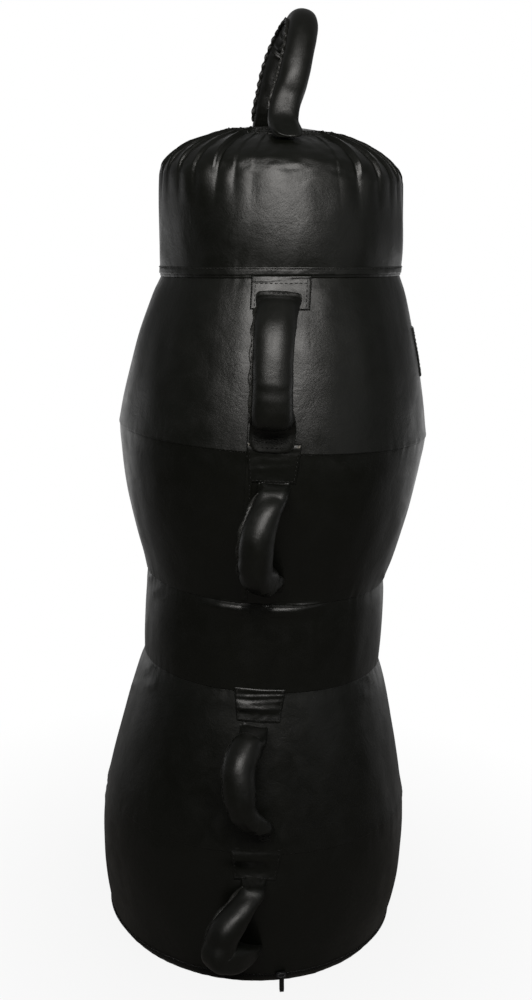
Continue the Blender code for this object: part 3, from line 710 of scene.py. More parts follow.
def add_grip_patch(skin, trim, kind, azimuth, materials):
    """Leather under the upper end of a grip, with its rows of stitches."""
    index = SIDE_PANELS.index(kind)
    overlap = {"chest_upper": 0.0035, "chest_lower": 0.0130}.get(kind, trim.patch_overlap)
    top = skin.seams[index + 1] + overlap
    bottom = skin.seams[index + 1] - trim.patch_height + 0.006
    place = side_place(skin, azimuth)
    flap = 0.0034 if kind == "hip_upper" else 0.0  # how far the patch stands off across its middle
    edging = kind == "chest_upper"  # a frame of stitches, and no taper

    def rolls(below):
        return sum(high * math.exp(-(((below - at) / wide) ** 2)) for at, wide, high in PATCH_ROLLS[kind])

    def tapered(u, v, lift):
        if edging:
            return place(u * 1.09 + 0.0015, v, lift)
        widen = trim.patch_foot + (trim.patch_width - trim.patch_foot) * (v - bottom) / (top - bottom)
        crest = v - bottom - 0.0165
        loose = math.exp(-((crest / (0.0070 if crest > 0 else 0.0032)) ** 2))
        loose *= flap * (1 - 0.45 * smooth(0.5 + u / 0.05)) * math.exp(-(((u + 0.004) / 0.030) ** 6))
        if kind == "hip_lower":
            lift *= smooth((top - v) / 0.014)
        return place(u * widen / trim.patch_width, v, lift + loose)

    def relief(u, v):
        bend = 0.0015 * math.sin(u / trim.patch_width * 4)
        rubbed = 0.0003 * noise.noise(Vector((u * 120, v * 160, index * 3)))
        return rolls(top - v + bend) + rubbed

    half = trim.patch_width / 2
    piece = laid_piece(
        kind + "_patch_leather", tapered, even_steps(-half, half, 0.0022), even_steps(bottom, top, 0.0012),
        trim.patch_thickness, materials["leather"], relief=relief,
    )
    add_wear(piece, lambda co: 0.08 + 0.25 * smooth((rolls(top - co.z) - 0.0005) / 0.001))
    dress(piece, replaced=[kind + "_patch"])
    lift = trim.patch_thickness

    def raised(u, v, height):
        return tapered(u, v, height + lift + relief(u, v))

    runs = []
    for side in (-1, 1):
        for inset in (0.0013, 0.0052) if edging else (0.0035,):
            u = side * (half - inset)
            runs += stitch_line(raised, (u, bottom + 0.003), (u, top - 0.004), trim)
    rows = (bottom + 0.0013, top - 0.0090) if edging else (bottom + 0.0032,)
    for v in rows:
        runs += stitch_line(raised, (-half + 0.004, v), (half - 0.004, v), trim)
    add_stitches(kind + "_patch_stitches", runs, trim, materials["thread"])
    # Only the lower chest's bar tacks take the pale thread, whose colour is a painted glint.
    tack_thread = {"chest_lower": "tack_glint", "hip_upper": "thread"}.get(kind)
    if tack_thread:
        tacks = []
        for side in (-1, 1):
            tacks += bar_tack(raised, side * (half - 0.004), top - 0.0032, 0.0085, 3, trim)
        add_stitches(kind + "_patch_tacks", tacks, trim, materials[tack_thread])


def add_side_patch(skin, trim, materials):
    """Plain blank patch on the right of the upper chest."""
    low, high = (corner.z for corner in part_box("side_patch"))
    place = side_place(skin, math.pi / 2)
    half = trim.side_patch / 2
    piece = laid_piece(
        "side_patch_leather", place, even_steps(-half, half, 0.004), even_steps(low, high, 0.004),
        trim.patch_thickness, materials["leather"],
        relief=lambda u, v: 0.0004 * noise.noise(Vector((u * 60, v * 60, 8))),
    )
    add_wear(piece, lambda co: 0.3)
    dress(piece, replaced=["side_patch"])

    def raised(u, v, height):
        return place(u, v, height + trim.patch_thickness - 0.0004)

    near = 0.0075
    left, right, bottom, top = -half + near, half - near, low + near, high - near
    corners = [(left, bottom), (right, bottom), (right, top), (left, top)]
    runs = []
    for a, b in zip(corners, corners[1:] + corners[:1]):
        runs += stitch_line(raised, a, b, trim)
    add_stitches("side_patch_stitches", runs, trim, materials["thread"])


def add_crown_patch(skin, trim, materials):
    """Round leather over the meeting gathers, topstitched near its edge."""
    turns = azimuths(360)
    edge = trim.crown_patch
    radii = [0.0005, 0.012, 0.024, 0.036, 0.048, 0.058, 0.066, 0.073, 0.078, 0.081, 0.083, 0.0843, edge]

    def over_pleats(radius, azimuth, lift):
        return skin.crown(azimuth, math.acos(radius / skin.radii[6]), lift)

    def ring(radius, lift):
        return [over_pleats(radius, a, lift) for a in turns]

    thick, rounded, sunk = 0.0026, 0.010, -0.0004
    over = [ring(r, thick * (0.12 + 0.88 * smooth((edge - r) / rounded))) for r in radii]
    under = [ring(r, sunk) for r in (edge, 0.05, 0.0005)]
    piece = ring_piece("crown_patch_leather", over + under, materials["leather"])
    add_wear(piece, lambda co: 0.3)
    dress(piece, replaced=["crown_patch"])
    runs = []
    for radius in (0.0805, 0.0745):
        for a in stitch_turns(radius, trim):
            top = over_pleats(radius, a, thick * smooth((edge - radius) / rounded))
            runs.append((top, sideways(a), (outward(a) * 0.3 + Vector((0, 0, 1))).normalized()))
    add_stitches("crown_patch_stitches", runs, trim, materials["thread"])


def add_band(skin, trim, materials):
    """Lapped band over the head's seam, topstitched near its upper edge."""
    low = skin.seams[5] + 0.0035
    high = low + trim.band_height
    turns = azimuths(480)
    profile = (  # share of the height, and lift
        (0.0, 0.0004), (0.02, 0.0011), (0.09, 0.0013), (0.22, 0.0012), (0.5, 0.0010),
        (0.68, 0.0008), (0.80, 0.0005), (0.90, 0.0006), (0.97, 0.0004), (1.0, 0.0001),
    )

    rows = [
        [skin.point(a, low + (high - low) * at, lift + 0.0003 * round_noise(a, 14, at * 2)) for a in turns]
        for at, lift in profile
    ]
    rows += [[skin.point(a, z, 0.0001) for a in turns] for z in (high, low)]
    piece = ring_piece("head_band_leather", rows, materials["leather"])
    add_wear(piece, lambda co: 0.2)
    dress(piece, replaced=["head_seam_band"])
    z = low + (high - low) * 0.80
    around = stitch_turns(skin.plain_radius(z), trim)
    runs = [(skin.point(a, z, 0.0007), sideways(a), skin.normal(a, z)) for a in around]
    add_stitches("head_band_stitches", runs, trim, materials["thread"])


def add_closing_seams(skin, trim, materials):
    """Upright laps that close each ring of leather, at the front of the chest and else at the back."""
    back, front_offset = math.radians(171), -0.0255
    half, thick, near = 0.0045, 0.0012, 0.0035
    for index, name in enumerate((*SIDE_PANELS, "head")):
        low, high = skin.seams[index] + near, skin.seams[index + 1] - near
        if name == "head":
            low, high = skin.seams[index] + 0.0150, skin.cover.shoulder_height - 0.003

        def place(u, v, height, at_front=name.startswith("chest")):
            radius = skin.plain_radius(v)
            middle = math.asin(front_offset / radius) if at_front else back
            return skin.point(middle + u / radius, v, height)

        piece = laid_piece(
            name + "_closing_lap", place, even_steps(-half, half, 0.0015, edge=0.0012),
            even_steps(low, high, 0.004, edge=0.0012), thick, materials["leather"], edge=0.0011,
            relief=lambda u, v: 0.0003 * noise.noise(Vector((u * 200, v * 110, 4))),
        )
        add_wear(piece, lambda co: 0.3)
        dress(piece)

        def raised(u, v, height, place=place):
            return place(u, v, height + thick)

        runs = stitch_line(raised, (0.0016, low + 0.003), (0.0016, high - 0.003), trim)
        add_stitches(name + "_closing_stitches", runs, trim, materials["thread"])


def spline(controls, count):
    """Rows on a clamped cubic B-spline through rows of control values."""
    rows = np.array([controls[0]] * 2 + list(controls) + [controls[-1]] * 2, float)
    spans = len(rows) - 3
    found = []
    for at in np.linspace(0, spans - 1e-9, count):
        k, t = int(at), at - int(at)
        weights = ((1 - t) ** 3, 3 * t**3 - 6 * t**2 + 4, -3 * t**3 + 3 * t**2 + 3 * t + 1, t**3)
        found.append(sum(w * rows[k + i] for i, w in enumerate(weights)) / 6)
    return np.array(found)


def even_rows(rows, count):
    """Rows spaced evenly along the path of their first three values."""
    steps = np.linalg.norm(np.diff(rows[:, :3], axis=0), axis=1)
    along = np.concatenate([[0], np.cumsum(steps)])
    at = np.linspace(0, along[-1], count)
    return np.stack([np.interp(at, along, rows[:, k]) for k in range(rows.shape[1])], axis=1), at


def tube_frames(rows):
    """(centre, across, off, half width, half depth, squareness) along a path of control rows."""
    centres = rows[:, :3]
    headings = np.gradient(centres, axis=0)
    found = []
    for row, heading in zip(rows, headings):
        tangent = Vector(heading).normalized()
        across = Vector(row[3:6])
        across = (across - tangent * across.dot(tangent)).normalized()
        off = across.cross(tangent)
        found.append((Vector(row[:3]), across, off, row[6], row[7], row[8]))
    return found


def tube_point(station, turn, swell=0.0):
    """A point round a station at an angle from its right side towards the outside."""
    centre, across, off, wide, deep, square = station
    power = 2 / (2 + 2.5 * square)
    c, s = math.cos(turn), math.sin(turn)
    x = math.copysign(abs(c) ** power, c) * (wide + swell)
    y = math.copysign(abs(s) ** power, s) * (deep + swell)
    return centre + across * x + off * y


def tube_wrinkles(seed, total, bends):
    """Depth of a tube's creases at a length along it and an angle round it.

    bends are (place along as a share, angle round, depth, width) of creases across the tube.
    """

    def depth(at, turn):
        x, y = math.cos(turn), math.sin(turn)
        swell = 0.0006 * noise.noise(Vector((x * 1.3, y * 1.3, at / 0.018 + seed)))
        swell += 0.0009 * noise.noise(Vector((x * 0.7, y * 0.7, at / 0.05 + seed * 3)))
        for place, side, deep, wide in bends:
            wander = 0.004 * noise.noise(Vector((x * 1.2, y * 1.2, place * 40 + seed)))
            near = (at - place * total + wander) / wide
            facing = max(0.0, math.cos(turn - side))
            swell -= deep * math.exp(-near * near) * facing**0.7
            swell += 0.45 * deep * math.exp(-(((abs(near) - 1.7) / 0.8) ** 2)) * facing**0.7
        ends = math.exp(-min(at, total - at) / 0.022)
        swell += 0.0013 * ends * math.sin(turn * 5 + seed) * (1 - math.exp(-min(at, total - at) / 0.006))
        return swell

    return depth


def add_tube(name, rows, bends, seed, material, around=56, count=150):
    """A padded leather tube along control rows, closed at both ends; returns it with its stations."""
    rows, along = even_rows(spline(rows, 400), count)
    stations = tube_frames(rows)
    depth = tube_wrinkles(seed, along[-1], bends)
    turns = [math.tau * k / around for k in range(around)]
    rings = [
        [tube_point(station, turn, depth(at, turn)) for turn in turns] for station, at in zip(stations, along)
    ]
    piece = ring_piece(name, rings, material, caps=True)
    return piece, stations, along


def lip_axes(station, turn):
    """(outwards, across) of a lip at a station and an angle round the tube."""
    _, across, off = station[:3]
    out = (across * math.cos(turn) + off * math.sin(turn)).normalized()
    return out, (off * math.cos(turn) - across * math.sin(turn)).normalized()


def add_lip(name, stations, along, turn, height, skip, material, ruffle, pitch):
    """Edge of a tube's leather, sewn together along one side and standing out as a thin lip."""
    low, high = skip * along[-1], (1 - skip) * along[-1]
    half, sunk, fade = 0.0011, 0.0012, 0.008
    rings = []
    for station, at in zip(stations, along):
        if not low <= at <= high:
            continue
        grown = min(smooth((at - low) / fade), smooth((high - at) / fade))
        root = tube_point(station, turn)
        out, side = lip_axes(station, turn)
        wave = side * ruffle * (math.sin(at * math.tau / pitch) + noise.noise(Vector((at / 0.006, 0, turn))))
        tall = height * (0.3 + 0.7 * grown) * (1 + 0.25 * math.sin(at * math.tau / pitch + 1))
        steps = [(-sunk, half * 1.3, 0.0), (tall * 0.45, half, 0.5), (tall * 0.9, half * 0.9, 1.0)]
        around = [*steps, (tall, 0.0, 1.0), *[(rise, -off, bend) for rise, off, bend in reversed(steps)]]
        rings.append([root + out * rise + side * off + wave * bend for rise, off, bend in around])
    return ring_piece(name, rings, material, caps=True)


def lip_stitches(stations, along, turn, height, skip, trim):
    """Stitches through the lip, seen on both its sides."""
    at, high = (skip + 0.03) * along[-1], (0.97 - skip) * along[-1]
    found = []
    while at < high:
        k = int(np.searchsorted(along, at))
        heading = (stations[min(k + 1, len(stations) - 1)][0] - stations[k - 1][0]).normalized()
        out, side = lip_axes(stations[k], turn)
        for face in (-1, 1):
            middle = tube_point(stations[k], turn) + out * height * 0.5 + side * face * 0.0012
            found.append((middle, heading, side * face))
        at += trim.stitch * 1.15 + trim.stitch_gap
    return found


def grip_frame(joint, turned):
    """Lower hinge point, hinge axis, and the turn of the grip's own axes as it rests."""
    axis = Vector(joint["axis"]).normalized()
    return Vector(joint["pos_m"]), axis, Matrix.Rotation(turned, 3, axis)


def add_padded_tube(
    body, rows, trim, materials, *, blend, nodes, bends, seed, rings, webbing_rings, lip_turn,
    lip, lip_skip, stitch_skip, ruffle, ruffle_pitch, rubbed, wear, wear_reach,
):
    """A padded tube, its lip and the webbing inside.

    rows are its control rows. It is worn at the points in rubbed.
    The lip leaves out a share of the tube at both ends, lip_skip, and its stitches stitch_skip.
    """

    def sewn(piece, replaced=()):
        dress(piece, None, replaced)
        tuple(blend[0])
        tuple(blend[1])
        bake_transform(piece)

    grip = materials["grip"]
    piece, stations, along = add_tube(body + "_leather", rows, bends, seed, grip, count=rings)
    add_wear(piece, lambda co: wear * max(math.exp(-(co - end).length / wear_reach) for end in rubbed))
    sewn(piece, replaced=nodes)
    edge = add_lip(body + "_lip", stations, along, lip_turn, lip, lip_skip, grip, ruffle, ruffle_pitch)
    add_wear(edge, lambda co: 0.8)
    sewn(edge)
    runs = lip_stitches(stations, along, lip_turn, lip, stitch_skip, trim)
    stitches = add_stitches(body + "_lip_stitches", runs, trim, materials["thread"], body=None)
    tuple(blend[0])
    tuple(blend[1])
    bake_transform(stitches)
    half_width, half_depth = 0.0080, 0.0012
    inner = [(*row[:6], half_width, min(half_depth, row[7] * 0.5), 1.0) for row in rows[4:-4]]
    strap = materials["strap"]
    webbing, _, _ = add_tube(body + "_webbing", inner, [], 1, strap, around=16, count=webbing_rings)
    sewn(webbing, [body + "_strap"])


def hanging_arc(span, rise, elbow, knee, rows):
    """(along the hinge, out from it) of a grip: out to its knee, down, and in again below its elbow."""
    found = []
    bend = 0.05

    def over_knee(part):
        return bend * math.log(1 + math.exp((part - knee) / bend))

    for row in range(rows + 1):
        part = (1 - math.cos(math.pi * row / rows)) / 2
        if part < elbow:
            out = 1 - ((elbow - part) / elbow) ** 2.3
        else:
            out = 1 - (over_knee(part) - over_knee(elbow)) / (over_knee(1) - over_knee(elbow))
        found.append((span * part, rise * out))
    return found


def arc_points(span, rise, square, rows):
    """(along the hinge, out from it) of a padded arc."""
    found = []
    for row in range(rows + 1):
        angle = math.pi * row / rows
        c = math.cos(angle)
        along = span / 2 * (1 - math.copysign(abs(c) ** square, c))
        out = rise * math.sin(angle) ** square if 0 < row < rows else 0
        found.append((along, out))
    return found


def grip_controls(skin, grips, k, low, axis, out, right, turned):
    """Control rows from the lower root, round the padded arc, to the upper root."""
    span, rise = grips.spans[k], grips.rises[k]
    wide, deep = grips.widths[k] / 2, grips.depths[k] / 2
    folded_half_depth = 0.0075
    turned_out, turned_right = turned @ out, turned @ right
    lower_flare, upper_flare = grips.lower_flares[k], grips.upper_flares[k]
    lower_drift, upper_drift = grips.lower_drifts[k], grips.upper_drifts[k]

    def root(azimuth, hinge_height, reach, flare, drift, lift):
        level = sideways(azimuth)
        steps = (  # share of its length, distance off the bag, half depth, width by flare, squareness
            (1.0, 0.0006, 0.0006, 0.20, 1.0), (0.95, 0.0010, 0.0011, 0.42, 1.0),
            (0.82, 0.0012, 0.0014, 0.48, 1.0), (0.64, 0.0014, 0.0016, 0.50, 1.0),
            (0.42, 0.0018, 0.0020, 0.50, 1.0), (0.20, 0.0046, 0.0034, 0.50, 0.6),
        )
        found = []
        for part, off, thick, width, square in steps:
            spot = skin.point(azimuth, hinge_height + reach * part, off + lift) + level * drift
            found.append((*spot, *level, flare * width, thick, square))
        return found

    rows = root(
        grips.lower_azimuths[k], low.z, -grips.lower_reaches[k], lower_flare, lower_drift,
        grips.lower_lifts[k],
    )
    for along, away in hanging_arc(span, rise, grips.elbows[k], grips.knees[k], 26)[2:25]:
        part, far = along / span, away / rise
        drift = lower_drift * smooth(1 - part / 0.45) + upper_drift * smooth(1 - (1 - part) / 0.6)
        drift -= grips.sags[k] * far**2
        droop = grips.droops[k] * smooth(far * 1.3) * smooth(1 - part / 0.75)
        crest = grips.crests[k] * smooth(far * 2.2) * smooth((part - 0.45) / 0.35)
        toe = grips.toes[k] * smooth((0.42 - part) / 0.30) * smooth(far * 1.6)
        spot = low + axis * (along - droop + crest) + turned_out * away + out * toe + right * drift
        if part < 0.5:
            grown = full = smooth((far - grips.necks[k]) / 0.55)
        else:
            grown = smooth(away / (rise * 0.42))
            full = math.sin(min(1.0, far / grips.fillings[k]) * math.pi / 2)
        level = right.lerp(turned_right, smooth((away - 0.002) / (rise * 0.45)))
        flat = (upper_flare if part > 0.5 else lower_flare) * 0.47
        square = grips.flatness + 0.35 * smooth(1 - part / 0.35)
        slim = 1 - grips.lower_tapers[k] * smooth(1 - part * 2) - grips.upper_tapers[k] * smooth(part * 2 - 1)
        half_depth = folded_half_depth + (deep * slim - folded_half_depth) * full
        rows.append((*spot, *level, flat + (wide * slim - flat) * grown, half_depth, square))
    return rows + root(
        grips.upper_azimuths[k], (low + axis * span).z, grips.upper_reaches[k], upper_flare, upper_drift,
        grips.upper_lifts[k],
    )[::-1]


# Creases of each grip: place along it as a share, angle round it in radians, depth and width.
GRIP_BENDS = {
    "chest_upper": [(0.52, 4.6, 0.0030, 0.0032), (0.40, 1.4, 0.0006, 0.0050)],
    "chest_lower": [(0.38, 4.2, 0.0032, 0.0032), (0.40, 2.6, 0.0014, 0.0050), (0.28, 1.2, 0.0009, 0.0036)],
    "hip_upper": [(0.46, 4.4, 0.0032, 0.0030), (0.40, 2.2, 0.0012, 0.0040), (0.27, 1.5, 0.0012, 0.0034)],
    "hip_lower": [(0.40, 4.4, 0.0018, 0.0044), (0.36, 2.0, 0.0008, 0.0036)],
}
LOOP_BENDS = [
    (0.36, 4.7, 0.0026, 0.003), (0.43, 4.7, 0.0022, 0.0026), (0.50, 4.7, 0.0024, 0.0026),
    (0.57, 4.7, 0.0022, 0.0026), (0.64, 4.7, 0.0026, 0.003),
]


def add_side_grip(skin, grips, trim, kind, materials):
    """One padded grip: a leather tube whose ends fold flat and are sewn to the bag."""
    k = GRIPS.index(kind)
    body = kind + "_grip"
    low, axis, turned = grip_frame(JOINT_OF[body], grips.turns[k])
    away = outward((grips.lower_azimuths[k] + grips.upper_azimuths[k]) / 2)
    out = (away - axis * away.dot(axis)).normalized()
    right = -out.cross(axis)
    rows = grip_controls(skin, grips, k, low, axis, out, right, turned)
    middle = low + axis * grips.spans[k] / 2
    past = 0.02
    add_padded_tube(
        body, rows, trim, materials, bends=GRIP_BENDS[kind], seed=3 + 7 * k,
        nodes=[body + part for part in ("_sleeve", "_upper_root", "_lower_root")],
        blend=(middle - out * (grips.standoff * 0.80), middle + out * 0.012), rings=150, webbing_rings=60,
        lip_turn=grips.lip_turns[k], lip=grips.lip, lip_skip=0.17, stitch_skip=0.20,
        ruffle=0.0005, ruffle_pitch=0.026, wear=0.15, wear_reach=0.020,
        rubbed=(low - axis * past, low + axis * (grips.spans[k] + past)),
    )
    add_root_stitches(skin, grips, trim, kind, k, low, axis, materials)


def add_root_stitches(skin, grips, trim, kind, k, low, axis, materials):
    """Rows of stitches that hold a grip's flat roots on the bag."""
    lower = grips.lower_azimuths[k], grips.lower_flares[k], grips.lower_drifts[k]
    upper = grips.upper_azimuths[k], grips.upper_flares[k], grips.upper_drifts[k]
    lower_reach, upper_reach = grips.lower_reaches[k], grips.upper_reaches[k]
    upper_height = (low + axis * grips.spans[k]).z
    runs = []
    for height, lift, (azimuth, flare, drift) in (
        (low.z - lower_reach * 0.84, grips.lower_lifts[k] + 0.0026, lower),
        (low.z - lower_reach * 0.68, grips.lower_lifts[k] + 0.0030, lower),
        (upper_height + upper_reach * 0.84, grips.upper_lifts[k] + 0.0026, upper),
    ):
        place = side_place(skin, azimuth, lift)
        runs += stitch_line(place, (drift - flare * 0.36, height), (drift + flare * 0.36, height), trim)
    add_stitches(kind + "_root_stitches", runs, trim, materials["thread"])


def add_loop(skin, grips, trim, materials):
    """Padded loop on the crown, leaning to the right, with both feet folded flat on the crown patch."""
    low, axis, turned = grip_frame(JOINT_OF["loop"], grips.loop_lean)
    up = Vector((0, 0, 1))
    out = (up - axis * up.dot(axis)).normalized()
    right = -out.cross(axis)
    turned_out, turned_right = turned @ out, turned @ right
    span, rise, half = grips.loop_span, grips.loop_rise, grips.loop_girth / 2
    level = Vector((axis.x, axis.y, 0)).normalized()
    folded_half_width, folded_half_depth, root_length = 0.0175, 0.0100, 0.052

    def root(end, sign):
        steps = (  # share of its length, height over the crown, half depth, half width, squareness
            (1.0, 0.0050, 0.0010, 0.006, 1.0), (0.97, 0.0054, 0.0016, 0.013, 1.0),
            (0.86, 0.0060, 0.0024, 0.0175, 1.0), (0.66, 0.0070, 0.0036, 0.0190, 0.8),
            (0.42, 0.0095, 0.0060, 0.0190, 0.5), (0.22, 0.0140, 0.0090, 0.0185, 0.2),
        )
        found = []
        for part, lift, thick, width, square in steps:
            spot = end + level * sign * root_length * part + right * (0.006 * part - 0.006)
            found.append((*skin.crown_top(spot.x, spot.y, lift), *right, width, thick, square))
        return found

    rows = root(low, -1)
    for along, away in arc_points(span, rise, 0.80, 30)[1:30]:
        grown = smooth(away / (rise * 0.36))
        turn = smooth((away - 0.002) / (rise * 0.30))
        back = smooth((along / span - 0.35) / 0.5) * math.sin(math.pi * min(away / rise, 1)) ** 0.8
        spot = low + axis * along + turned_out * away - right * (0.006 * (1 - turn) + 0.008 * back)
        half_width = folded_half_width + (half - folded_half_width) * grown
        half_depth = folded_half_depth + (half - folded_half_depth) * grown
        rows.append((*spot, *right.lerp(turned_right, turn), half_width, half_depth, 0.05))
    rows += root(low + axis * span, 1)[::-1]
    middle = low + axis * span / 2
    add_padded_tube(
        "loop", rows, trim, materials, bends=LOOP_BENDS, seed=21,
        nodes=["loop_sleeve", "loop_front_root", "loop_back_root"],
        blend=(middle - out * 0.012, middle + out * 0.020), rings=210, webbing_rings=90,
        lip_turn=math.pi, lip=grips.lip, lip_skip=0.13, stitch_skip=0.15,
        ruffle=0.0016, ruffle_pitch=0.011, wear=0.6, wear_reach=0.022, rubbed=(low, low + axis * span),
    )


def add_zip(skin, trim, materials):
    """Woven tape and moulded coil round the base seam."""
    z = skin.seams[0] - 0.0002
    turns = azimuths(360)
    back, edge, face, half = 0.2010, 0.2019, 0.2021, 0.0023
    profile = ((edge, half), (face, 0.0010), (face, -0.0010), (edge, -half), (back, -half), (back, half))
    rows = [[outward(a) * radius + Vector((0, 0, z + height)) for a in turns] for radius, height in profile]
    tape = ring_piece("zip_tape_woven", rows, materials["tape"])
    dress(tape, replaced=["zip_tape"])
    coil_middle, coil_front, coil_half, slant = 0.2024, 0.2026, 0.0019, 0.25
    half_wide, half_deep = 0.00055, 0.0006
    count = int(math.tau * coil_front / trim.coil_pitch)
    points, faces = [], []
    for k in range(count):
        a = math.tau * k / count
        along, off = sideways(a), outward(a)
        centre = off * coil_middle + Vector((0, 0, z))
        tall = (Vector((0, 0, 1)) + along * (slant if k % 2 else -slant)).normalized()
        spine = [
            (centre + tall * at * coil_half, thick)
            for at, thick in ((-1.0, 0.35), (-0.75, 1.0), (0.0, 1.15), (0.75, 1.0), (1.0, 0.35))
        ]
        add_bead(points, faces, spine, along * half_wide, off * half_deep)
    coil = mesh_piece("zip_coil", points, faces, materials["coil"])
    dress(coil)


def turned_box(name, turned):
    """Low and high corners of a frame node in axes turned about Z."""
    back = Matrix.Rotation(-turned, 3, "Z")
    points = [back @ vert.co for vert in frame["nodes"][name].data.vertices]
    return [Vector([pick(p[k] for p in points) for k in range(3)]) for pick in (min, max)]


def bevelled_block(name, outline, low_y, high_y, bevel, material):
    """A plate with an outline of (x, z) points between two depths, with softened edges."""
    count = len(outline)
    middle = Vector((sum(x for x, _ in outline), 0, sum(z for _, z in outline))) / count
    layers = (
        (low_y, bevel), (low_y + bevel * 0.4, bevel * 0.2), (low_y + bevel, 0),
        (high_y - bevel, 0), (high_y - bevel * 0.4, bevel * 0.2), (high_y, bevel),
    )
    points = [
        Vector((x, y, z)) + Vector((middle.x - x, 0, middle.z - z)).normalized() * inset
        for y, inset in layers for x, z in outline
    ]
    return mesh_piece(name, points, capped_faces(len(layers), count), material)


def add_slider(materials):
    """Zip slider: its body, the two ears and the pin between them."""
    joint = JOINT_OF["zip_pull"]
    pin = Vector(joint["pos_m"])
    turned = math.atan2(joint["axis"][1], joint["axis"][0])
    low, high = turned_box("zip_slider", turned)
    turn = Matrix.Rotation(turned, 4, "Z")
    pin_local = turn.inverted() @ pin
    half, mid, tall = high.x, (low.z + high.z) / 2, (high.z - low.z) / 2
    lower = ((-1, -0.55), (-0.8, -0.8), (0, -1), (0.75, -0.95), (1, -0.6))
    outline = [(half * x, mid + tall * z) for x, z in lower + tuple((x, -z) for x, z in reversed(lower))]
    front = pin_local.y + 0.0020

    def metal(piece, place=Matrix.Identity(4), replaced=()):
        piece.matrix_world = turn @ place
        dress(piece, "zip_slider", replaced)

    plate = bevelled_block("zip_slider_body", outline, front - 0.0006, high.y, 0.0006, materials["metal"])
    metal(plate, replaced=["zip_slider"])
    around = np.linspace(0, math.tau, 14)[:-1]
    ear = [(math.cos(t) * 0.0020, pin.z + math.sin(t) * 0.0023) for t in around]
    for side, name in ((-1, "left"), (1, "right")):
        cheek = bevelled_block("zip_slider_ear_" + name, ear, -0.0006, 0.0006, 0.0002, materials["metal"])
        place = Matrix.Translation((side * 0.0042, pin_local.y + 0.0006, 0))
        metal(cheek, place @ Matrix.Rotation(math.pi / 2, 4, "Z"))
    rod_radius = 0.0009
    around = np.linspace(0, math.tau, 13)[:-1]
    circle = [(pin_local.y + math.cos(t) * rod_radius, pin.z + math.sin(t) * rod_radius) for t in around]
    rod = [[Vector((x, *spot)) for spot in circle] for x in (-0.0048, -0.0047, 0.0047, 0.0048)]
    metal(ring_piece("zip_slider_pin", rod, materials["metal"], caps=True))
    add_pull(pin_local, turned, materials)


def add_pull(pin, turned, materials):
    """Woven strip looped round the slider's pin."""
    node_low, _ = turned_box("zip_pull", turned)
    start = Vector((0, pin.y, pin.z))
    tip = Vector((0, node_low.y + 0.0012, node_low.z + 0.0002))
    reach = (tip - start).length
    along = (tip - start).normalized()
    across = Vector((1, 0, 0))
    off = across.cross(along)
    steps = 34
    around = [math.tau * j / 20 for j in range(20)]
    rings = []
    for k in range(steps + 1):
        at = k / steps * reach
        eye = 0.0012 * math.exp(-((at / 0.0022) ** 2))
        ribs = 0.00008 * math.sin(at / 0.0007)
        wide = 0.00325 * (1 - 0.12 * smooth((at - reach + 0.004) / 0.004))
        centre = start + along * at + off * 0.0006 * math.sin(at / reach * math.pi)
        rings.append([
            centre + across * math.copysign(abs(math.cos(t)) ** 0.35, math.cos(t)) * wide
            + off * math.copysign(abs(math.sin(t)) ** 0.8, math.sin(t)) * (0.0007 + eye + ribs)
            for t in around
        ])
    pull = ring_piece("zip_pull_strip", rings, materials["strap"], caps=True)
    pull.matrix_world = Matrix.Rotation(turned, 4, "Z")
    dress(pull, "zip_pull", ["zip_pull"])


def add_inside(materials):
    """Loose filling, sand sleeve, sand and tie, sealed inside the cover: they keep the frame's shape."""
    for name in ("textile_filling", "sand_sleeve", "sand_fill", "sleeve_tie"):
        finishes = frame["nodes"][name].data.materials
        finishes.clear()
        finishes.append(materials[name])


def node(tree, kind, inputs=(), **settings):
    """Adds a shader node with its settings and links; a node among the inputs means its first output."""
    made = tree.nodes.new(kind)
    for name, value in settings.items():
        setattr(made, name, value)
    for name, value in inputs.items() if isinstance(inputs, dict) else enumerate(inputs):
        if isinstance(value, bpy.types.Node):
            value = value.outputs[0]
        if isinstance(value, bpy.types.NodeSocket):
            tree.links.new(value, made.inputs[name])
        else:
            made.inputs[name].default_value = value
    return made


def opaque(rgb, gain=1.0, lift=0.0):
    """A colour for a node, made lighter by a gain and a lift."""
    return (*[min(1.0, part * gain + lift) for part in rgb], 1.0)


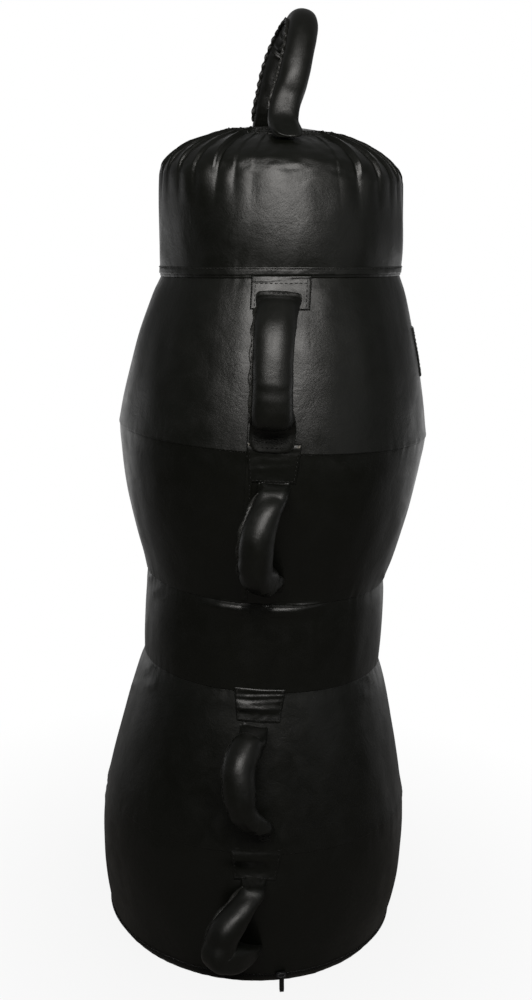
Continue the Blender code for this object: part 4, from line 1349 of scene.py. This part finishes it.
def leather(tree, place, colours, roughness, grain_mm, crease_mm, relief):
    """Synthetic leather: a knitted back coated with black plastic, pressed with a fine hide grain.

    The coat is smooth, so it has soft grey highlights; folds break the grain and rub it matt and grey.
    The real grain is about 0.8 mm, too fine to show here, and is drawn coarser.
    """
    scale = 1000 / grain_mm
    grain = node(tree, "ShaderNodeTexVoronoi", {"Vector": place, "Scale": scale}, feature="SMOOTH_F1")
    creases = node(
        tree, "ShaderNodeTexNoise",
        {"Vector": place, "Scale": 1000 / crease_mm, "Detail": 5.0, "Roughness": 0.6, "Distortion": 0.4},
    )
    broad = node(tree, "ShaderNodeTexNoise", {"Vector": place, "Scale": 1000 / 75, "Detail": 3.0})
    wear = node(tree, "ShaderNodeAttribute", attribute_name="wear").outputs["Fac"]
    patchy = node(tree, "ShaderNodeMath", (wear, creases), operation="MULTIPLY")
    rubbed = node(tree, "ShaderNodeMapRange", (patchy, 0.1, 0.65, 0.0, 0.8))
    tones = {0: broad, 6: opaque(colours.leather), 7: opaque(colours.leather, 1.45)}
    coat = node(tree, "ShaderNodeMix", tones, data_type="RGBA").outputs[2]
    worn = node(tree, "ShaderNodeMix", {0: rubbed, 6: coat, 7: opaque(colours.worn)}, data_type="RGBA")
    uneven = node(tree, "ShaderNodeMapRange", (creases, 0.3, 0.7, roughness - 0.05, roughness + 0.07))
    fine = node(tree, "ShaderNodeBump", {"Height": grain, "Strength": 0.35, "Distance": relief})
    folds = {"Height": creases, "Strength": 0.5, "Distance": relief * 7, "Normal": fine}
    return {
        "Base Color": worn.outputs[2],
        "Roughness": node(tree, "ShaderNodeMath", (rubbed, 0.16, uneven), operation="MULTIPLY_ADD"),
        "Normal": node(tree, "ShaderNodeBump", folds),
        "IOR": 1.5,
        "Specular IOR Level": 0.44,
    }


def thread(tree, place, rgb, roughness):
    """Bonded polyester sewing thread, twisted from three plies: a faint slanted rope pattern."""
    wave = {"Vector": place, "Scale": 1000 / 1.4 / math.tau, "Distortion": 1.5}
    plies = node(tree, "ShaderNodeTexWave", wave, bands_direction="DIAGONAL").outputs["Fac"]
    tones = {0: plies, 6: opaque(rgb), 7: opaque(rgb, 1.9, 0.004)}
    return {
        "Base Color": node(tree, "ShaderNodeMix", tones, data_type="RGBA").outputs[2],
        "Roughness": roughness,
        "Normal": node(tree, "ShaderNodeBump", {"Height": plies, "Strength": 0.4, "Distance": 0.0002}),
        "Specular IOR Level": 0.3,
    }


def woven(tree, place, rgb, thread_mm, roughness):
    """Plain-woven fabric or webbing: crossing threads that stand proud of each other."""
    wave = {"Vector": place, "Scale": 1000 / thread_mm / math.tau, "Distortion": 0.4}
    crossing = [node(tree, "ShaderNodeTexWave", wave, bands_direction=axis).outputs["Fac"] for axis in "XZ"]
    cloth = node(tree, "ShaderNodeMath", crossing, operation="MULTIPLY")
    tones = {0: cloth, 6: opaque(rgb), 7: opaque(rgb, 1.6, 0.003)}
    relief = {"Height": cloth, "Strength": 0.6, "Distance": thread_mm / 4000}
    return {
        "Base Color": node(tree, "ShaderNodeMix", tones, data_type="RGBA").outputs[2],
        "Roughness": roughness,
        "Normal": node(tree, "ShaderNodeBump", relief),
        "Specular IOR Level": 0.2,
    }


def grains(tree, place, rgb, size_mm, roughness):
    """Loose bits, such as sand or shredded cloth: cells that differ in tone."""
    cells = node(tree, "ShaderNodeTexVoronoi", {"Vector": place, "Scale": 1000 / size_mm})
    tone = node(tree, "ShaderNodeRGBToBW", (cells.outputs["Color"],))
    tones = {0: tone, 6: opaque(rgb, 0.6), 7: opaque(rgb)}
    relief = {"Height": cells, "Strength": 0.7, "Distance": size_mm / 3000}
    return {
        "Base Color": node(tree, "ShaderNodeMix", tones, data_type="RGBA").outputs[2],
        "Roughness": roughness,
        "Normal": node(tree, "ShaderNodeBump", relief),
    }


def painted_zinc(tree, place, rgb, bare_rgb):
    """Die-cast zinc slider under baked black paint: smooth, with paint thinned to metal on a few spots."""
    chips = node(tree, "ShaderNodeTexNoise", {"Vector": place, "Scale": 1000 / 2.5, "Detail": 4.0})
    bare = node(tree, "ShaderNodeMapRange", (chips, 0.62, 0.7, 0.0, 1.0))
    tones = {0: bare, 6: opaque(rgb), 7: opaque(bare_rgb)}
    return {
        "Base Color": node(tree, "ShaderNodeMix", tones, data_type="RGBA").outputs[2],
        "Metallic": bare,
        "Roughness": node(tree, "ShaderNodeMapRange", (chips, 0.3, 0.7, 0.40, 0.55)),
        "Normal": node(tree, "ShaderNodeBump", {"Height": chips, "Strength": 0.2, "Distance": 0.0001}),
    }


def paper(tree, _, rgb):
    """Matt studio paper, pressed from fibres: even and without shine.

    The fibres are too fine to show, and are drawn as soft dents that are spread over the whole floor.
    """
    floor_mm, dent_mm = 28000, 42
    fibres = node(tree, "ShaderNodeTexNoise", {"Scale": floor_mm / dent_mm, "Detail": 3.0})
    return {
        "Base Color": opaque(rgb),
        "Roughness": 0.9,
        "Normal": node(tree, "ShaderNodeBump", {"Height": fibres, "Strength": 0.1, "Distance": 0.0001}),
        "Specular IOR Level": 0.1,
    }


def finish(name, recipe, *settings):
    """A material; its recipe adds the nodes of the pattern and returns the shader's inputs."""
    material = bpy.data.materials.new(name)
    material.use_nodes = True
    tree = material.node_tree
    tree.nodes.clear()
    place = node(tree, "ShaderNodeTexCoord").outputs["Object"]
    shader = node(tree, "ShaderNodeBsdfPrincipled", recipe(tree, place, *settings))
    node(tree, "ShaderNodeOutputMaterial", {"Surface": shader})
    return material


def all_materials(colours):
    """Every finish on the bag, made once."""
    recipes = {
        "leather": ("cover leather, pressed grain", leather, colours, 0.365, 2.2, 26, 0.00020),
        "grip": ("grip leather, stretched", leather, colours, 0.42, 2.6, 18, 0.00016),
        "thread": ("bonded thread", thread, colours.thread, 0.62),
        # The pale colour of the bar tacks' thread is a painted glint.
        "tack_glint": ("bar tack thread", thread, colours.tack_glint, 0.4),
        "tape": ("woven zip tape", woven, colours.tape, 0.9, 0.7),
        "coil": ("moulded nylon coil", grains, colours.tape, 1.5, 0.4),
        "metal": ("painted zinc", painted_zinc, colours.metal, colours.bare_metal),
        "strap": ("woven webbing", woven, colours.strap, 1.3, 0.65),
        "textile_filling": ("shredded textile", grains, colours.textile, 14, 0.9),
        "sand_sleeve": ("cotton canvas", woven, colours.canvas, 1.4, 0.85),
        "sand_fill": ("dry sand", grains, colours.sand, 1.5, 0.95),
        "sleeve_tie": ("cotton cord", woven, colours.canvas, 1.6, 0.85),
    }
    return {key: bpy.data.materials.get(recipe[0]) or finish(*recipe) for key, recipe in recipes.items()}


def shown_white(tree, behind):
    """How white a place is: fully to the camera, and to mirrored light by how far it is behind the bag."""
    rays = node(tree, "ShaderNodeLightPath").outputs
    direct = rays["Is Camera Ray"], rays["Is Transmission Ray"]
    clear = node(tree, "ShaderNodeMath", direct, operation="MAXIMUM")
    mirrored = node(tree, "ShaderNodeMath", (rays["Is Glossy Ray"], behind), operation="MULTIPLY")
    return node(tree, "ShaderNodeMath", (clear, mirrored), operation="MAXIMUM")


def floor_paper(colours):
    """The floor's paper: white to the camera far away, and shaded by the bag near it."""
    material = finish("studio paper", paper, colours.floor)
    tree = material.node_tree
    place = node(tree, "ShaderNodeTexCoord").outputs["Object"]
    away = node(tree, "ShaderNodeVectorMath", (place,), operation="LENGTH").outputs["Value"]
    far = node(tree, "ShaderNodeMapRange", (away, 0.20, 0.75, 0.91, 1.0))
    depth = node(tree, "ShaderNodeSeparateXYZ", (place,)).outputs["Y"]
    near = node(tree, "ShaderNodeMapRange", (depth, 0.05, 0.35, 0.0, 0.12))
    deep = node(tree, "ShaderNodeMapRange", (depth, 0.9, 2.4, 0.0, 0.88))
    white = shown_white(tree, node(tree, "ShaderNodeMath", (near, deep), operation="ADD"))
    factor = node(tree, "ShaderNodeMath", (far, white), operation="MULTIPLY")
    glow = node(tree, "ShaderNodeEmission", {"Color": (1, 1, 1, 1), "Strength": 1.0})
    output = tree.nodes["Material Output"].inputs["Surface"]
    mix = node(tree, "ShaderNodeMixShader", (factor, output.links[0].from_socket, glow))
    tree.links.new(mix.outputs["Shader"], output)
    return material


def pale_room(studio):
    """World: white to the camera; to mirrored light, a dim room with a white backdrop behind the bag."""
    world = bpy.data.worlds.new("pale room")
    bpy.context.scene.world = world
    world.use_nodes = True
    tree = world.node_tree
    tree.nodes.clear()
    direction = node(tree, "ShaderNodeTexCoord").outputs["Generated"]
    depth = node(tree, "ShaderNodeSeparateXYZ", (direction,)).outputs["Y"]
    white = shown_white(tree, node(tree, "ShaderNodeMapRange", (depth, 0.87, 0.99, 0.0, 1.0)))
    dim = node(tree, "ShaderNodeMapRange", (depth, -0.8, 0.5, studio.room * 0.22, studio.room))
    lift = node(tree, "ShaderNodeMath", (1.0, dim), operation="SUBTRACT")
    strength = node(tree, "ShaderNodeMath", (white, lift, dim), operation="MULTIPLY_ADD")
    background = node(tree, "ShaderNodeBackground", {"Color": (1, 1, 1, 1), "Strength": strength})
    node(tree, "ShaderNodeOutputWorld", {"Surface": background})


def softbox(name, place, target, width, height, watts):
    """A rectangular area light that looks at a point."""
    light = bpy.data.lights.new(name, "AREA")
    light.shape = "RECTANGLE"
    light.size, light.size_y, light.energy = width, height, watts
    lamp = bpy.data.objects.new(name, light)
    bpy.context.scene.collection.objects.link(lamp)
    lamp.location = place
    lamp.rotation_mode = "QUATERNION"
    lamp.rotation_quaternion = (Vector(target) - Vector(place)).to_track_quat("-Z", "Y")
    return lamp


class BagOperator:
    """What every step shares: its sizes, and one list of finishes."""

    bl_options = {"REGISTER", "UNDO"}

    def parts(self, context):
        """The skin, the sizes of grips and trim, and the finishes."""
        scene = context.scene
        return BagSkin(scene.bag_cover), scene.bag_grips, scene.bag_trim, all_materials(scene.bag_colours)


class BAG_OT_panels(BagOperator, bpy.types.Operator):
    """Sews the round base and the rings of leather up to the neck"""

    bl_idname = "bag.panels"
    bl_label = "Panels"

    def execute(self, context):
        skin, _, _, materials = self.parts(context)
        add_base(skin, materials["leather"])
        for index, name in enumerate(SIDE_PANELS):
            add_side_panel(skin, name, index, materials["leather"])
        return {"FINISHED"}


class BAG_OT_head(BagOperator, bpy.types.Operator):
    """Sews the head, its pleated crown, the band and the round patch"""

    bl_idname = "bag.head"
    bl_label = "Head and crown"

    def execute(self, context):
        skin, _, trim, materials = self.parts(context)
        add_head(skin, materials["leather"])
        add_band(skin, trim, materials)
        add_crown_patch(skin, trim, materials)
        return {"FINISHED"}


class BAG_OT_patches(BagOperator, bpy.types.Operator):
    """Lays the patches and the upright closing seams"""

    bl_idname = "bag.patches"
    bl_label = "Patches and laps"

    def execute(self, context):
        skin, _, trim, materials = self.parts(context)
        for kind, azimuth in zip(GRIPS, trim.patch_azimuths):
            add_grip_patch(skin, trim, kind, azimuth, materials)
        add_side_patch(skin, trim, materials)
        add_closing_seams(skin, trim, materials)
        return {"FINISHED"}


class BAG_OT_grips(BagOperator, bpy.types.Operator):
    """Makes the four padded grips"""

    bl_idname = "bag.grips"
    bl_label = "Grips"

    def execute(self, context):
        skin, grips, trim, materials = self.parts(context)
        for kind in GRIPS:
            add_side_grip(skin, grips, trim, kind, materials)
        return {"FINISHED"}


class BAG_OT_loop(BagOperator, bpy.types.Operator):
    """Makes the padded loop on the crown"""

    bl_idname = "bag.loop"
    bl_label = "Loop"

    def execute(self, context):
        skin, grips, trim, materials = self.parts(context)
        add_loop(skin, grips, trim, materials)
        return {"FINISHED"}


class BAG_OT_zip(BagOperator, bpy.types.Operator):
    """Makes the zip round the base with its slider and pull"""

    bl_idname = "bag.zip"
    bl_label = "Zip"

    def execute(self, context):
        skin, _, trim, materials = self.parts(context)
        add_zip(skin, trim, materials)
        add_slider(materials)
        return {"FINISHED"}


class BAG_OT_inside(BagOperator, bpy.types.Operator):
    """Gives the sealed filling, sleeve, sand and tie their finishes"""

    bl_idname = "bag.inside"
    bl_label = "Filling"

    def execute(self, context):
        add_inside(all_materials(context.scene.bag_colours))
        return {"FINISHED"}


class BAG_OT_stage(bpy.types.Operator):
    """Lays the floor and sets the lights and camera"""

    bl_idname = "bag.stage"
    bl_label = "Stage"

    def execute(self, context):
        studio = context.scene.bag_studio
        reach = 14.0
        corners = [Vector((reach * x, reach * y, 0)) for x, y in ((-1, -1), (1, -1), (1, 1), (-1, 1))]
        floor = mesh_piece("floor", corners, [(0, 1, 2, 3)], floor_paper(context.scene.bag_colours))
        gap_below_bag = 0.0003
        floor.location.z = -gap_below_bag
        pale_room(studio)
        key = softbox("key", (-0.02, -1.40, 1.63), (0, 0, 1.02), width=1.50, height=0.70, watts=studio.key)
        key.data.color = (1.0, 0.975, 0.945)
        softbox("fill", (2.3, -1.6, 1.2), (0, 0, 0.6), width=1.8, height=1.8, watts=studio.fill)
        lens = bpy.data.cameras.new("camera")
        lens.lens = studio.lens
        camera = bpy.data.objects.new("camera", lens)
        context.scene.collection.objects.link(camera)
        tilt = Matrix.Rotation(math.pi / 2 - studio.pitch, 4, "X")
        roll = Matrix.Rotation(studio.roll, 4, "Z")
        camera.matrix_world = Matrix.Translation(studio.eye) @ tilt @ roll
        context.scene.camera = camera
        context.scene.view_settings.view_transform = "Standard"
        return {"FINISHED"}


STEPS = (
    BAG_OT_stage, BAG_OT_panels, BAG_OT_head, BAG_OT_patches,
    BAG_OT_grips, BAG_OT_loop, BAG_OT_zip, BAG_OT_inside,
)
GROUPS = {
    "bag_cover": BagCover, "bag_grips": BagGrips, "bag_trim": BagTrim, "bag_colours": BagColours,
    "bag_studio": BagStudio,
}


class BAG_PT_steps(bpy.types.Panel):
    """Lists the steps and the sizes"""

    bl_label = "Grappling bag"
    bl_idname = "BAG_PT_steps"
    bl_space_type = "VIEW_3D"
    bl_region_type = "UI"
    bl_category = "Bag"

    def draw(self, context):
        layout = self.layout
        for step in STEPS:
            layout.operator(step.bl_idname)
        for attribute, group in GROUPS.items():
            box = layout.box()
            box.label(text=group.__doc__)
            for name in group.__annotations__:
                box.prop(getattr(context.scene, attribute), name)


def register():
    for cls in (*GROUPS.values(), *STEPS, BAG_PT_steps):
        bpy.utils.register_class(cls)
    for attribute, group in GROUPS.items():
        setattr(bpy.types.Scene, attribute, PointerProperty(type=group))


def unregister():
    for attribute in GROUPS:
        delattr(bpy.types.Scene, attribute)
    for cls in reversed((*GROUPS.values(), *STEPS, BAG_PT_steps)):
        bpy.utils.unregister_class(cls)


def main():
    register()
    for step in STEPS:
        group, name = step.bl_idname.split(".")
        getattr(getattr(bpy.ops, group), name)()


if __name__ == "__main__":
    main()
